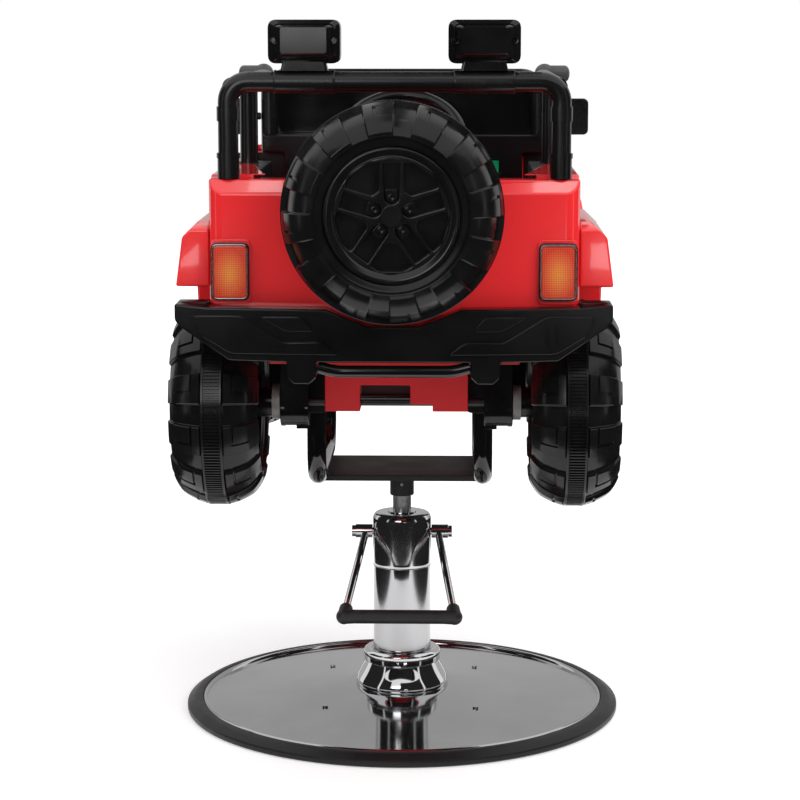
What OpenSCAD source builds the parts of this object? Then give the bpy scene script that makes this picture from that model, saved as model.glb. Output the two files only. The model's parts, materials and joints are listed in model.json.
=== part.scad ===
// A salon chair for children: a toy car body on a hydraulic pump column.
// Origin on the floor under the pump, +Z up, +Y towards the car's nose, millimetres.
// Heights under Wheels to Steering and dash are measured from the chassis underside.

/* [Base] */
// Outer radius of the round base with its rubber edge
base_r = 300; // [260:5:340]
// Radial width of the rubber edge
rubber_w = 25; // [18:1:34]
// Height of the rubber edge
rubber_h = 17; // [15:1:24]
// Thickness of the steel dish
dish_t = 4; // [2:0.5:5]
// Height of the dish's top at its rim
dish_rim_h = 12; // [9:1:13]
// Height of the dish's flat middle
dish_mid_h = 30; // [27:1:40]
// Radius of the flat middle
dish_mid_r = 75; // [72:1:95]
// Radius of the circle of small dish screws
screw_ring_r = 145; // [120:1:180]
// Foot radius of the bell cover
bell_r = 64; // [60:1:70]
// Height of the bell cover
bell_h = 34; // [26:1:44]
// Outer radius of the ring above the bell
ring_r = 53; // [48:1:58]
// Height of that ring
ring_h = 18; // [12:1:24]

/* [Pump] */
// Outer radius of the pump tube
tube_r = 39.5; // [36:0.5:42]
// Wall of the pump tube
tube_wall = 4; // [3:0.5:5]
// Height of the pump head's top above the floor
pump_top = 274; // [250:1:320]
// Height of the pump head
head_h = 75; // [60:1:90]
// Radius of the ram
ram_r = 12.5; // [11:0.5:13]
// Length of ram that shows when the chair is down
ram_show = 24; // [12:1:60]
// Lift of the ram
stroke = 150; // [60:5:150]
// Height of the pedal's pivot above the floor
pivot_h = 246; // [240:1:252]
// Radius of the pedal's shafts
shaft_r = 5; // [4:0.5:6]
// Length of the pedal's arms
arm_len = 180; // [150:5:200]
// Angle of the arms below level at rest
arm_drop = 27; // [20:1:32]
// Radius of the pedal's arms
arm_r = 5; // [4:0.5:6]
// Overall width of the pedal's crossbar with its grip
grip_w = 167; // [150:1:180]
// Radius of the rubber grip
grip_r = 10; // [9:0.5:12]

/* [Seat frame] */
// Radius of the swivel collar
collar_r = 16.5; // [15.5:0.5:22]
// Height of the swivel collar
collar_h = 33; // [25:1:50]
// Thickness of the cross plate
plate_t = 8; // [6:0.5:12]
// Length of the cross plate along the car
plate_len = 150; // [140:5:210]
// Half the distance between the two side loops
loop_x = 110; // [108:1:118]
// Radius of the loops' tube
loop_r = 12.5; // [10:0.5:14]
// Half the length of a loop between its legs' centres
loop_y = 135; // [125:1:145]
// Radius of the loops' bends, on the tube's centre
loop_bend = 40; // [30:1:60]
// Height of a loop's legs from the bottom tube's centre to the chassis
loop_h = 195; // [150:5:230]

/* [Wheels] */
// Outer radius of a wheel over its lugs
wheel_r = 129; // [120:1:132]
// Width of a wheel
wheel_w = 112; // [100:1:114]
// Half the distance between the centres of a pair of wheels
wheel_x = 220; // [218:1:226]
// Distance of each axle from the pump's axis, along the car
axle_y = 300; // [297:1:303]
// Depth of the axles below the chassis
axle_drop = 64; // [62:1:66]
// Radius of the axles
axle_r = 5; // [4:0.5:5.5]
// Number of lugs round a wheel
lugs = 12; // [10:1:14]
// Height of a lug over the tread
lug_h = 8; // [5:0.5:9]
// Height of the spare wheel's centre
spare_z = 188; // [180:1:196]

/* [Body] */
// Half the width of the body
body_hw = 220; // [218:1:224]
// Distance of the flat tail and of the nose from the pump's axis
body_end = 430; // [428:1:434]
// Height of the body's side tops
body_top = 225; // [220:1:232]
// Lower edge of the tail over the bumper
tail_low = 73; // [70:1:76]
// Thickness of the body's walls
skin = 8; // [6:0.5:10]
// Half the width of the open top
cabin_hw = 168; // [160:1:174]
// Height of the chassis tray
tray_h = 60; // [50:1:62]
// Half the width of the chassis tray
tray_hw = 150; // [146:1:152]
// Width of a wing flare outside the body
flare_w = 41; // [36:1:50]
// Rear edge of a door
door_back = -130; // [-134:1:-120]
// Front edge of a door
door_front = 100; // [96:1:104]
// Lower edge of a door
door_low = 78; // [74:1:90]
// Thickness of a door
door_t = 12; // [10:0.5:14]

/* [Cage and screen] */
// Radius of the cage's tubes
cage_r = 12; // [10:0.5:13]
// Half the distance between the hoop's posts
hoop_x = 197; // [194:1:203]
// Height of the hoop's top tube, on its centre
hoop_z = 335; // [325:1:345]
// Place of the hoop along the car
hoop_y = -405; // [-408:1:-402]
// Bend radius of the hoop
hoop_bend = 24; // [20:1:36]
// Place of the screen frame along the car
screen_y = 116; // [114:1:118]
// Half the distance between the screen frame's legs
screen_x = 188; // [186:1:192]
// Width of a roof lamp
lamp_w = 85; // [76:1:92]
// Height of a roof lamp
lamp_h = 51; // [44:1:58]
// Depth of a roof lamp
lamp_d = 46; // [40:1:52]
// Half the distance between the roof lamps
lamp_x = 106; // [90:1:116]

/* [Bumpers and lights] */
// Half the width of the rear bumper
bumper_hw = 258; // [254:1:266]
// Depth of a bumper along the car
bumper_d = 26; // [22:1:30]
// Width of a tail light
tail_w = 44; // [38:1:46]
// Height of a tail light
tail_h = 66; // [58:1:70]

/* [Steering and dash] */
// Tilt of the steering column from upright
column_tilt = 45; // [44:1:46]
// Length of the column from its crank to the middle of the wheel
column_len = 389; // [384:1:394]
// Radius of the column
column_r = 6; // [5:0.5:7]
// Outer radius of the steering wheel
rim_r = 90; // [84:1:94]
// Radius of the steering wheel's rim tube
rim_tube = 9; // [7:0.5:10]
// Half the distance between the kingpins
king_x = 138; // [137:1:140]
// Length of a knuckle's steering arm
knuckle_arm = 35; // [33:1:37]
// Length of the column's crank
crank_len = 20; // [18:1:22]
// Height of the dash's top
dash_top = 251; // [244:1:258]

/* [Hidden] */
$fn = 64;
// Gap between pieces that rest on each other
seat_gap = 0.3;
// Running fit of a shaft in its bore, on the radius
fit = 0.05;
// Overrun of a cut past the face that it opens
over = 1;

// Base and pump, heights above the floor
rim_in_r = base_r - rubber_w;
rubber_ledge = 12;
rubber_round = 1.5;
dish_curve_share = 1.2;
dish_steps = 6;
flange_top = dish_mid_h - dish_t - seat_gap;
flange_t = 10;
flange_edge = 1;
flange_r = dish_mid_r - flange_edge;
flange_bolt_ring = 53;
flange_bolt_r = 3.5;
nut_r = 6.5;
nut_h = 6;
screw_r = 2.5;
screw_head_r = 4;
screw_head_h = 1.6;
ballast_in = 108;
ballast_out = 190;
ballast_low = 3;
bell_top_r = 50;
bell_wall = 2;
tube_top = pump_top - head_h;
tube_in = tube_r - tube_wall;
head_lip = 0.5;
head_r = tube_r + head_lip;
head_roof = 12;
gland_r = 18;
gland_lip = 1.5;
liner_wall = 3;
piston_step = 1.5;
piston_r = ram_r + piston_step;
piston_h = 20;
piston_play = 30;
piston_low = pump_top - head_roof - piston_play - stroke - piston_h;
plunger_r = 3.5;
plunger_wall = 4;
plunger_x = 24;
plunger_y = 12;
barrel_low = 150;
barrel_h = 62;
finger_r = 4;
finger_gap = 0.5;
hub_play = 1.5;
hub_len = 23;
hub_in = tube_r + hub_play;
hub_out = hub_in + hub_len;
hub_r = 9.5;
arm_root_x = 50;
bar_half = grip_w / 2 - grip_r;
shaft_head_r = 8;
shaft_head_t = 5;
ram_base = piston_low + piston_h;
collar_low = pump_top + ram_show;
plate_low = collar_low + collar_h;
grub_r = 2;
loop_lift = 1.5;
loop_z = plate_low + loop_r + loop_lift;
pad = 58;
pad_t = 4;
pad_bolt = 21;
pad_bolt_r = 4;

// Chassis underside above the floor: everything on the car is measured from it
car_z = loop_z + loop_h;
wall = 6;
keel_hw = 89;
keel_step = 45;
keel_notch = 17;
keel_deep = axle_drop + 2 * axle_r;
keel_mid = 41;
keel_side = 65;
keel_back = -315;
keel_front = -200;
front_tray_hw = 105;
nut_room = 1.5;
front_tray_y = loop_y + pad_bolt + nut_r + nut_room + wall;
tray_end = 415;
well_play = 16;
well_r = wheel_r + well_play;
well_wall = 5;
floor_low = tray_h + seat_gap;
floor_t = 6;
plan_round = 18;
tail_slope = 16;
tail_drop = 4;
deck_y = 388;
cowl_y = 95;
firewall_t = 12;
sill_low = 20;
sill_y = 150;
bonnet_y = 142;
bonnet_t = 8;
bonnet_skin = 4;
nose_top = 190;
nose_low = 85;
nose_deck = 40;
bulge_hw = 88;
bulge_h = 7;
flare_low = 93;
flare_top = 170;
flare_wall = 5;
flare_side_drop = 18;
flare_lean = 8;

// Places on a wing flare, along the car from its axle (first) and as heights
flare_back = 115;
flare_front = 98;
flare_knee = 126;
flare_knee_z = 140;
flare_toe = 152;
flare_leg = 14;

// Gear, axles and steering
gearbox_in = 109;
gearbox_r = 21;
gearbox_sag = 9;
collar_w = 9.7;
wheel_hub_in = 65;
spacer_r = 22;
axle_nut_r = 9;
axle_nut_t = 5;
beam_y = 14;
beam_low = 95;
king_r = 5;
knuckle_half = 18;
knuckle_x = 12;
knuckle_y = 11;
knuckle_stub_r = 10;
arm_t = 12;
steer_y = axle_y - knuckle_arm;
rod_low = -57;
rod_t = 7;
rod_half = 7;
link_pin_r = 3;
link_play = 0.5;
eye_step = 2;
pin_stand = 2;
link_slot = 2.2;
crank_ball = 5;
crank_half = 3;
ball_play = 3;
crank_z = rod_low + rod_t + crank_ball + ball_play;
prong = 3;
prong_play = 1;
prong_gap = crank_ball + prong_play;
foot_y = steer_y + crank_len * sin(column_tilt);
foot_z = crank_z + crank_len * cos(column_tilt);
dash_hw = 195;
dash_low = 130;
dash_back = 68;
panel_play = 3;
horn_r = 17;
horn_h = 7;
horn_floor = 7;
horn_travel = 2;
rocker = [20, 10, 16];
rocker_proud = 5;
rocker_play = 1.6;
rocker_room = 4;
rocker_x = 122;
rocker_z = 207;
rocker_pin = 1.5;

// Wheel, along its own axis from its middle and out from its axle
wheel_face = wheel_w / 2;
tread_r = wheel_r - lug_h;
side_step = 2.5;
wheel_side = wheel_face - side_step;
// Rounded crown of the tyre: distance from the middle, and fall below the middle's radius
crown = [[12, 0], [24, 3], [36, 9], [46, 19], [53, 31]];
// Hollow of the tyre: radius, and distance from the middle
hollow = [[84, 44], [103, 33], [112, 20]];
rim_open = 79;
rim_seat = 36;
rim_web = 8;
lug_side_r = 93;
road_lug_turn = 4;
spare_lug_turn = 7.5;
band_hw = 9.5;
band_h = 5;
lug_share = 0.45;
lug_reach_share = 1.2;
hub_wheel_r = 19;
cap_t = 4;
cap_ring_in = 66;
cap_ring_h = 13;
cap_boss_r = 17;
cap_boss_h = 9;
spokes = 5;
spoke_w = 38;
spoke_h = 8;
spoke_slot = 24;
slot_room = 4;
cap_nut_r = 12;
spare_gap = 8;
spare_y = -(body_end + spare_gap + wheel_face);

// Door hinges
hinge_r = 6;
hinge_pin_r = 3;
hinge_h = 12;
hinge_out = 3;
hinge_ahead = 6;
hinge_leaf = 20;
hinge_lift = 20;
hinge_drop = 42;
hinge_x = body_hw + hinge_out;
hinge_y = door_front + hinge_ahead;
hinge_zs = [door_low + hinge_lift, body_top - hinge_drop];

// Bumpers and tail lights
bumper_gap = 2;
bumper_ahead = 22;
bumper_back = -body_end - bumper_gap - bumper_d;
bumper_dip = 51;
bumper_dip_hw = 32;
bumper_rise_x = 80;
bumper_crest = 2;
bumper_tip = 77;
bumper_knee = [252, 50];
bumper_chin = [194, 10];
bumper_low = 8;
tab_x = [91, 126];
tab_low = -18;
tab_round = 8;
arm_mount = [50, 80];
arm_mount_z = [16, 44];
tow_r = 8.5;
tow_drop = 3;
tail_edge = 4;
tail_lift = 7;
tail_x = body_hw - tail_edge - tail_w / 2;
tail_z = tail_low + tail_lift + tail_h / 2;

// Cage, screen and lamps
screen_drop = 7;
screen_top = hoop_z - screen_drop;
glass_t = 4;
sleeve_step = 1.5;
sleeve_r = cage_r + sleeve_step;
sleeve_w = 71;
post_ring_z = 24;
post_ring_t = 6;
post_ring_step = 2;
post_joint_drop = 22;
post_joint_h = 17;
rail_in = 4;
rail_x = hoop_x - rail_in;
rail_z = hoop_z - screen_drop;
post_y = -165;
post_step = 0.5;
post_foot = 1;
lamp_neck_w = 54;
lamp_lift = 21.5;
lamp_bevel = 8;

// Seat
seat_hw = 145;
seat_back_y = -340;
seat_front_y = -95;
seat_wall = 5;
squab_h = 56;
back_t = 26;
back_top = 205;
head_hw = 72;
head_top = 262;
rest_round = 16;

// Helpers
module box(a, b) {
  translate(a) cube(b - a);
}

module twice() {
  children();
  mirror([1, 0, 0]) children();
}

module on_car() {
  translate([0, 0, car_z]) children();
}

// Rod along X from x0 to x1
module rod_x(r, x0, x1) {
  translate([x0, 0, 0]) rotate([0, 90, 0]) cylinder(r = r, h = x1 - x0);
}

// Rod along Y from y0 to y1
module rod_y(r, y0, y1) {
  translate([0, y0, 0]) rotate([-90, 0, 0]) cylinder(r = r, h = y1 - y0);
}

// Outline in Y and Z, carried across the car
module across(x0, x1) {
  translate([x0, 0, 0]) rotate([90, 0, 90]) linear_extrude(x1 - x0) children();
}

// Outline in X and Z, carried along the car
module along(y0, y1) {
  translate([0, y1, 0]) rotate([90, 0, 0]) linear_extrude(y1 - y0) children();
}

module rounded(w, h, r) {
  square([w, h - 2 * r], center = true);
  square([w - 2 * r, h], center = true);
  for (x = [-1, 1])
    for (y = [-1, 1])
      translate([x * (w / 2 - r), y * (h / 2 - r)]) circle(r = r);
}

// Quarter bend of a tube, from +X round to +Y, about the bend's centre
module bend(radius, r) {
  rotate_extrude(angle = 90) translate([radius, 0]) circle(r = r);
}

// Ring about Z
module ring(r_in, r_out, h) {
  difference() {
    cylinder(r = r_out, h = h);
    translate([0, 0, -over]) cylinder(r = r_in, h = h + 2 * over);
  }
}

// Base
function dish_z(r) =
  let (s = max(0, min(1, (r - dish_mid_r) / (rim_in_r - dish_mid_r))))
  dish_rim_h + (dish_mid_h - dish_rim_h) * pow(1 - s, dish_curve_share);

function dish_radii() =
  [for (i = [0 : dish_steps]) dish_mid_r + (rim_in_r - dish_mid_r) * i / dish_steps];

module rubber_edge() {
  ledge_h = dish_rim_h - dish_t - seat_gap;
  slot_r = rim_in_r + seat_gap;
  crest_share = 0.12;
  slope_share = 0.5;
  color("#2c2c2c") rotate_extrude() polygon([
    [rim_in_r - rubber_ledge, 0],
    [base_r - rubber_round, 0],
    [base_r, rubber_round],
    [base_r, rubber_h * slope_share],
    [slot_r + rubber_w * slope_share, rubber_h - rubber_round],
    [slot_r + rubber_w * crest_share, rubber_h],
    [slot_r, rubber_h - rubber_round],
    [slot_r, ledge_h],
    [rim_in_r - rubber_ledge, ledge_h]
  ]);
}

module base_dish() {
  bore = tube_r + seat_gap;
  radii = dish_radii();
  top = [for (r = radii) [r, dish_z(r)]];
  low = [for (i = [dish_steps : -1 : 0]) [radii[i], dish_z(radii[i]) - dish_t]];
  color("#8c8c8c") difference() {
    rotate_extrude()
      polygon(concat([[bore, dish_mid_h]], top, low, [[bore, dish_mid_h - dish_t]]));
    bolt_holes(flange_bolt_r + seat_gap);
    screw_holes(screw_r + seat_gap);
  }
}

module bolt_holes(r) {
  for (a = [0 : 90 : 270])
    rotate([0, 0, a]) translate([flange_bolt_ring, 0, 0]) cylinder(r = r, h = 2 * dish_mid_h);
}

module screw_holes(r) {
  for (a = [45 : 90 : 315])
    rotate([0, 0, a]) translate([screw_ring_r, 0, 0]) cylinder(r = r, h = 2 * dish_mid_h);
}

module ballast_ring() {
  top = dish_z(ballast_out) - dish_t - seat_gap;
  color("#3a3a3a") difference() {
    translate([0, 0, ballast_low]) ring(ballast_in, ballast_out, top - ballast_low);
    screw_holes(screw_r + fit);
  }
}

// Four bolts with nuts through the flange, four screws through the dish
module base_bolts() {
  flange_low = flange_top - flange_t;
  color("#c8c8c8") {
    for (a = [0 : 90 : 270])
      rotate([0, 0, a]) translate([flange_bolt_ring, 0, 0]) {
        translate([0, 0, flange_low - nut_h]) cylinder(r = nut_r, h = nut_h, $fn = 6);
        translate([0, 0, flange_low - nut_h]) cylinder(r = flange_bolt_r,
          h = dish_mid_h + nut_h - flange_low + nut_h);
        translate([0, 0, dish_mid_h]) cylinder(r = nut_r, h = nut_h, $fn = 6);
      }
    for (a = [45 : 90 : 315])
      rotate([0, 0, a]) translate([screw_ring_r, 0, 0]) {
        head_z = dish_z(screw_ring_r - screw_head_r);
        translate([0, 0, head_z + seat_gap]) cylinder(r = screw_head_r, h = screw_head_h);
        translate([0, 0, ballast_low + over])
          cylinder(r = screw_r, h = head_z + screw_head_h - ballast_low - over);
      }
  }
}

module pump_flange() {
  color("#4a4a4a") difference() {
    translate([0, 0, flange_top - flange_t]) cylinder(r = flange_r, h = flange_t);
    bolt_holes(flange_bolt_r + fit);
  }
}

module bell_cover() {
  belly_share = 0.9;
  waist_share = 0.45;
  mid_r = bell_top_r + (bell_r - bell_top_r) * belly_share;
  hip_r = bell_top_r + (bell_r - bell_top_r) * waist_share;
  color("#b8b8b8") translate([0, 0, dish_mid_h]) rotate_extrude() polygon([
    [bell_r - bell_wall, 0],
    [bell_r, 0],
    [mid_r, bell_h * (1 - belly_share) * 2],
    [hip_r, bell_h * (1 - waist_share)],
    [bell_top_r, bell_h],
    [tube_r + seat_gap, bell_h],
    [tube_r + seat_gap, bell_h - bell_wall],
    [bell_top_r - bell_wall, bell_h - bell_wall],
    [hip_r - bell_wall, bell_h * (1 - waist_share) - bell_wall / 2],
    [mid_r - bell_wall, bell_h * (1 - belly_share) * 2]
  ]);
}

module ring_collar() {
  low = dish_mid_h + bell_h;
  top_in = ring_h / 4;
  edge = 1;
  color("#c0c0c0") rotate_extrude() polygon([
    [tube_r + seat_gap, low],
    [ring_r - edge, low],
    [ring_r, low + edge],
    [ring_r, low + ring_h - edge],
    [ring_r - edge, low + ring_h],
    [tube_r + seat_gap, low + ring_h - top_in]
  ]);
}

module pump_tube() {
  color("#cfcfcf") translate([0, 0, flange_top]) ring(tube_in, tube_r, tube_top - flange_top);
}

module pump_head() {
  color("#9a9a9a") difference() {
    translate([0, 0, tube_top]) cylinder(r = head_r, h = head_h);
    translate([0, 0, tube_top - over]) cylinder(r = tube_in, h = head_h - head_roof + over);
    cylinder(r = gland_r + fit, h = pump_top + over);
    translate([0, 0, pivot_h]) rod_x(shaft_r + fit, -head_r - over, head_r + over);
  }
}

module gland_bush() {
  low = pump_top - head_roof;
  color("#b08d4a") rotate_extrude() polygon([
    [ram_r + fit, low],
    [gland_r, low],
    [gland_r, pump_top],
    [gland_r + gland_lip, pump_top],
    [gland_r + gland_lip, pump_top + gland_lip],
    [ram_r + fit, pump_top + gland_lip]
  ]);
}

// Pressure cylinder with the plunger's barrel on its side
module inner_cylinder() {
  liner_r = piston_r + fit + liner_wall;
  barrel_r = plunger_r + plunger_wall;
  top = pump_top - head_roof;
  color("#8f8f8f") difference() {
    union() {
      translate([0, 0, flange_top]) cylinder(r = liner_r, h = top - flange_top);
      translate([-plunger_x, -plunger_y, barrel_low]) cylinder(r = barrel_r, h = barrel_h);
      box([-plunger_x, -plunger_y - plunger_r, barrel_low], [0, 0, barrel_low + barrel_h]);
    }
    translate([0, 0, flange_top - over]) cylinder(r = piston_r + fit, h = pump_top);
    translate([-plunger_x, -plunger_y, barrel_low + plunger_wall])
      cylinder(r = plunger_r + fit, h = barrel_h);
  }
}

module pump_plunger() {
  top = pivot_h - finger_r - finger_gap;
  low = barrel_low + barrel_h / 3;
  color("#bdbdbd") translate([-plunger_x, -plunger_y, low])
    cylinder(r = plunger_r, h = top - low);
}

// Pedal: local frame at the pivot, tipped so that the arms run along -Y
module pedal_frame_of() {
  translate([0, 0, pivot_h]) rotate([arm_drop, 0, 0]) children();
}

module pedal_arm(r, past) {
  from = [arm_root_x, 0, 0];
  to = [bar_half, -arm_len, 0];
  run = to - from;
  turn = atan2(run[0], -run[1]);
  translate(from) rotate([90, 0, 0]) rotate([0, turn, 0])
    cylinder(r = r, h = norm(run) + past);
}

module pedal_frame() {
  color("#a8a8a8") pedal_frame_of() difference() {
    union() {
      twice() {
        rod_x(hub_r, hub_in, hub_out);
        pedal_arm(arm_r, 0);
      }
      translate([0, -arm_len, 0]) rod_x(arm_r, -bar_half, bar_half);
    }
    rod_x(shaft_r + fit, -hub_out - over, hub_out + over);
  }
}

module pedal_grip() {
  socket = 9;
  socket_step = 1;
  ball_step = 0.5;
  ball_r = grip_r + ball_step;
  color("#2e2e2e") pedal_frame_of() difference() {
    translate([0, -arm_len, 0]) {
      rod_x(grip_r, -bar_half, bar_half);
      twice() translate([bar_half, 0, 0]) sphere(r = ball_r);
      twice() translate([bar_half, 0, 0]) rotate([-90, 0, 0])
        cylinder(r = grip_r - socket_step, h = ball_r + socket);
    }
    translate([0, -arm_len, 0])
      rod_x(arm_r + fit, -bar_half - seat_gap, bar_half + seat_gap);
    twice() pedal_arm(arm_r + 2 * fit, seat_gap);
  }
}

// Two stub shafts with their heads, and the finger that works the plunger
module pedal_shafts() {
  inner = plunger_x - finger_r;
  outer = hub_out + seat_gap;
  color("#b0b0b0") translate([0, 0, pivot_h]) {
    twice() {
      rod_x(shaft_r, inner, outer + shaft_head_t);
      rod_x(shaft_head_r, outer, outer + shaft_head_t);
    }
    translate([-plunger_x, 0, 0]) rod_y(finger_r, -plunger_y - plunger_r, 0);
  }
}

module ram() {
  color("#d8d8d8") translate([0, 0, ram_base])
    cylinder(r = ram_r, h = plate_low - seat_gap - ram_base);
}

module piston_head() {
  color("#707070") translate([0, 0, piston_low]) cylinder(r = piston_r, h = piston_h);
}

// Collar and cross plate, one weldment, notched round the loops' tubes
module swivel_plate() {
  half = loop_x - loop_r / 2;
  color("#1c1c1c") difference() {
    union() {
      translate([0, 0, collar_low]) cylinder(r = collar_r, h = collar_h + plate_t / 2);
      box([-half, -plate_len / 2, plate_low], [half, plate_len / 2, plate_low + plate_t]);
    }
    translate([0, 0, collar_low - over]) cylinder(r = ram_r + fit, h = collar_h + over);
    twice() translate([loop_x, 0, loop_z]) rod_y(loop_r + fit, -plate_len, plate_len);
    translate([0, 0, collar_low + collar_h / 2]) rod_y(grub_r + fit, -2 * collar_r, 0);
  }
}

// One U-shaped loop in its own plane, legs up, with a pad on each leg
module support_loop() {
  straight = loop_y - loop_bend;
  leg = loop_h - loop_bend - pad_t - seat_gap;
  color("#181818") translate([0, 0, loop_z]) difference() {
    union() {
      rod_y(loop_r, -straight, straight);
      for (s = [0, 1])
        mirror([0, s, 0]) {
          translate([0, straight, loop_bend]) rotate([-90, 0, 90]) bend(loop_bend, loop_r);
          translate([0, loop_y, loop_bend]) cylinder(r = loop_r, h = leg);
          translate([-pad / 2, loop_y - pad / 2, loop_bend + leg]) cube([pad, pad, pad_t]);
        }
    }
    for (s = [-1, 1])
      for (x = [-1, 1])
        for (y = [-1, 1])
          translate([x * pad_bolt, s * loop_y + y * pad_bolt, loop_h / 2])
            cylinder(r = pad_bolt_r + seat_gap, h = loop_h);
  }
}

module support_loop_left() {
  translate([-loop_x, 0, 0]) support_loop();
}

module support_loop_right() {
  translate([loop_x, 0, 0]) support_loop();
}

// Bolts through the loops' pads and the tray's floor, and the collar's grub screw
module frame_bolts() {
  head = car_z - pad_t - seat_gap;
  color("#a0a0a0") {
    for (sx = [-1, 1])
      for (sy = [-1, 1])
        for (x = [-1, 1])
          for (y = [-1, 1])
            translate([sx * loop_x + x * pad_bolt, sy * loop_y + y * pad_bolt, 0]) {
              translate([0, 0, head - nut_h]) cylinder(r = nut_r, h = nut_h, $fn = 6);
              translate([0, 0, head - nut_h])
                cylinder(r = pad_bolt_r, h = nut_h + pad_t + wall + nut_h);
              translate([0, 0, car_z + wall]) cylinder(r = nut_r, h = nut_h, $fn = 6);
            }
    translate([0, 0, collar_low + collar_h / 2])
      rod_y(grub_r, -collar_r - seat_gap, -ram_r - seat_gap);
  }
}

// Tray that carries everything, with the keel that holds the rear axle
module chassis() {
  hole_x = 16;
  hole_back = 222;
  hole_front = 276;
  color("#b3151d") on_car() difference() {
    union() {
      box([-tray_hw, -tray_end, 0], [tray_hw, front_tray_y, tray_h]);
      box([-front_tray_hw, front_tray_y, 0], [front_tray_hw, tray_end, tray_h]);
      along(keel_back, keel_front) polygon([
        [-keel_hw, wall / 2], [-keel_hw, -keel_deep], [-keel_step, -keel_deep],
        [-keel_step, -keel_mid], [keel_notch, -keel_mid], [keel_notch, -keel_side],
        [keel_step, -keel_side], [keel_step, -keel_deep], [keel_hw, -keel_deep],
        [keel_hw, wall / 2]
      ]);
    }
    box([wall - tray_hw, wall - tray_end, wall],
      [tray_hw - wall, front_tray_y - wall, tray_h + over]);
    box([wall - front_tray_hw, front_tray_y - 2 * wall, wall],
      [front_tray_hw - wall, tray_end - wall, tray_h + over]);
    box([-hole_x, hole_back, -over], [hole_x, hole_front, wall + over]);
    translate([0, -axle_y, -axle_drop]) rod_x(axle_r + fit, -tray_hw, tray_hw);
    for (sx = [-1, 1])
      for (sy = [-1, 1])
        for (x = [-1, 1])
          for (y = [-1, 1])
            translate([sx * loop_x + x * pad_bolt, sy * loop_y + y * pad_bolt, -over])
              cylinder(r = pad_bolt_r + seat_gap, h = wall + 2 * over);
  }
}

// Side outline of the body in Y and Z
function body_side() = [
  [-body_end, floor_low],
  [-body_end, body_top - tail_drop - tail_slope],
  [-body_end + tail_slope, body_top - tail_drop],
  [-deck_y, body_top - tail_drop],
  [-deck_y + tail_drop, body_top],
  [bonnet_y, body_top],
  [body_end, nose_top],
  [body_end, nose_low],
  [body_end - skin, nose_low - skin],
  [axle_y - sill_y, tail_low],
  [sill_y, sill_low],
  [-sill_y, sill_low],
  [-sill_y, floor_low]
];

module wheel_well(r, x0) {
  for (s = [-1, 1])
    translate([0, s * axle_y, -axle_drop])
      twice() rod_x(r, x0, body_hw + over);
}

module body_shell() {
  inner = body_hw - skin;
  floor_top = floor_low + floor_t;
  rim_low = body_top - skin;
  color("#d8232b") on_car() {
    door_hinge_pins();
    difference() {
      intersection() {
        across(-body_hw, body_hw) polygon(body_side());
        linear_extrude(2 * body_top) rounded(2 * body_hw, 2 * body_end, plan_round);
      }
      // Cabin below its rolled edge, clear of the rear wheel wells
      difference() {
        across(-inner, inner) polygon([
          [skin - body_end, floor_top],
          [cowl_y, floor_top],
          [cowl_y, rim_low],
          [skin - body_end + tail_slope, rim_low],
          [skin - body_end, rim_low - tail_slope]
        ]);
        wheel_well(well_r + well_wall, tray_hw - well_wall);
      }
      // Open top
      box([-cabin_hw, -deck_y, rim_low - over], [cabin_hw, cowl_y, body_top + over]);
      // Bay behind the nose, open below and under the bonnet
      box([-inner, cowl_y + firewall_t, -over], [inner, body_end - skin, rim_low - skin]);
      box([-inner, bonnet_y, nose_low], [inner, body_end - nose_deck, body_top + over]);
      // Hollow sills, open below
      twice() box([tray_hw + wall, wall - sill_y, -over], [inner, sill_y - wall, floor_low]);
      // Room for the tray
      box([-tray_hw - seat_gap, -tray_end - seat_gap, -over],
        [tray_hw + seat_gap, front_tray_y + seat_gap, floor_low]);
      wheel_well(well_r, tray_hw + seat_gap + over);
      // Doorways
      twice() box([cabin_hw - over, door_back, door_low],
        [body_hw + over, door_front, body_top + over]);
      twice() for (z = hinge_zs)
        translate([hinge_x, hinge_y, z]) cylinder(r = hinge_r + over, h = hinge_h);
      column_frame() cylinder(r = column_r + over, h = column_len);
    }
  }
}

module door_hinge_pins() {
  twice() for (z = hinge_zs) translate([hinge_x, hinge_y, z]) {
    translate([0, 0, -hinge_h]) cylinder(r = hinge_pin_r, h = 3 * hinge_h);
    for (dz = [-hinge_h, hinge_h]) {
      translate([0, 0, dz]) cylinder(r = hinge_r, h = hinge_h);
      translate([-hinge_r, 0, dz]) cube([hinge_r, hinge_leaf, hinge_h]);
    }
  }
}

module door() {
  gap = 0.8;
  inner = body_hw - door_t;
  pull_low = 30;
  pull_w = 56;
  pull_h = 18;
  pull_t = 5;
  frame_w = 16;
  door_skin = 5;
  depth = door_t - door_skin;
  difference() {
    union() {
      difference() {
        box([inner, door_back + gap, door_low + gap],
          [body_hw, door_front - gap, body_top - gap]);
        box([inner - over, door_back + gap + frame_w, door_low + gap + frame_w],
          [inner + depth, door_front - gap - frame_w, body_top - gap - frame_w]);
      }
      translate([body_hw - over, door_back + pull_low, body_top - pull_low - pull_h])
        cube([pull_t + over, pull_w, pull_h]);
      for (z = hinge_zs) translate([hinge_x, hinge_y, z + seat_gap]) {
        cylinder(r = hinge_r, h = hinge_h - 2 * seat_gap);
        translate([-hinge_r / 2, -hinge_leaf, 0])
          cube([hinge_r / 2, hinge_leaf, hinge_h - 2 * seat_gap]);
      }
    }
    for (z = hinge_zs) translate([hinge_x, hinge_y, z - over])
      cylinder(r = hinge_pin_r + fit, h = hinge_h + 2 * over);
  }
}

module door_left() {
  color("#d8232b") on_car() mirror([1, 0, 0]) door();
}

module door_right() {
  color("#d8232b") on_car() door();
}

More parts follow.
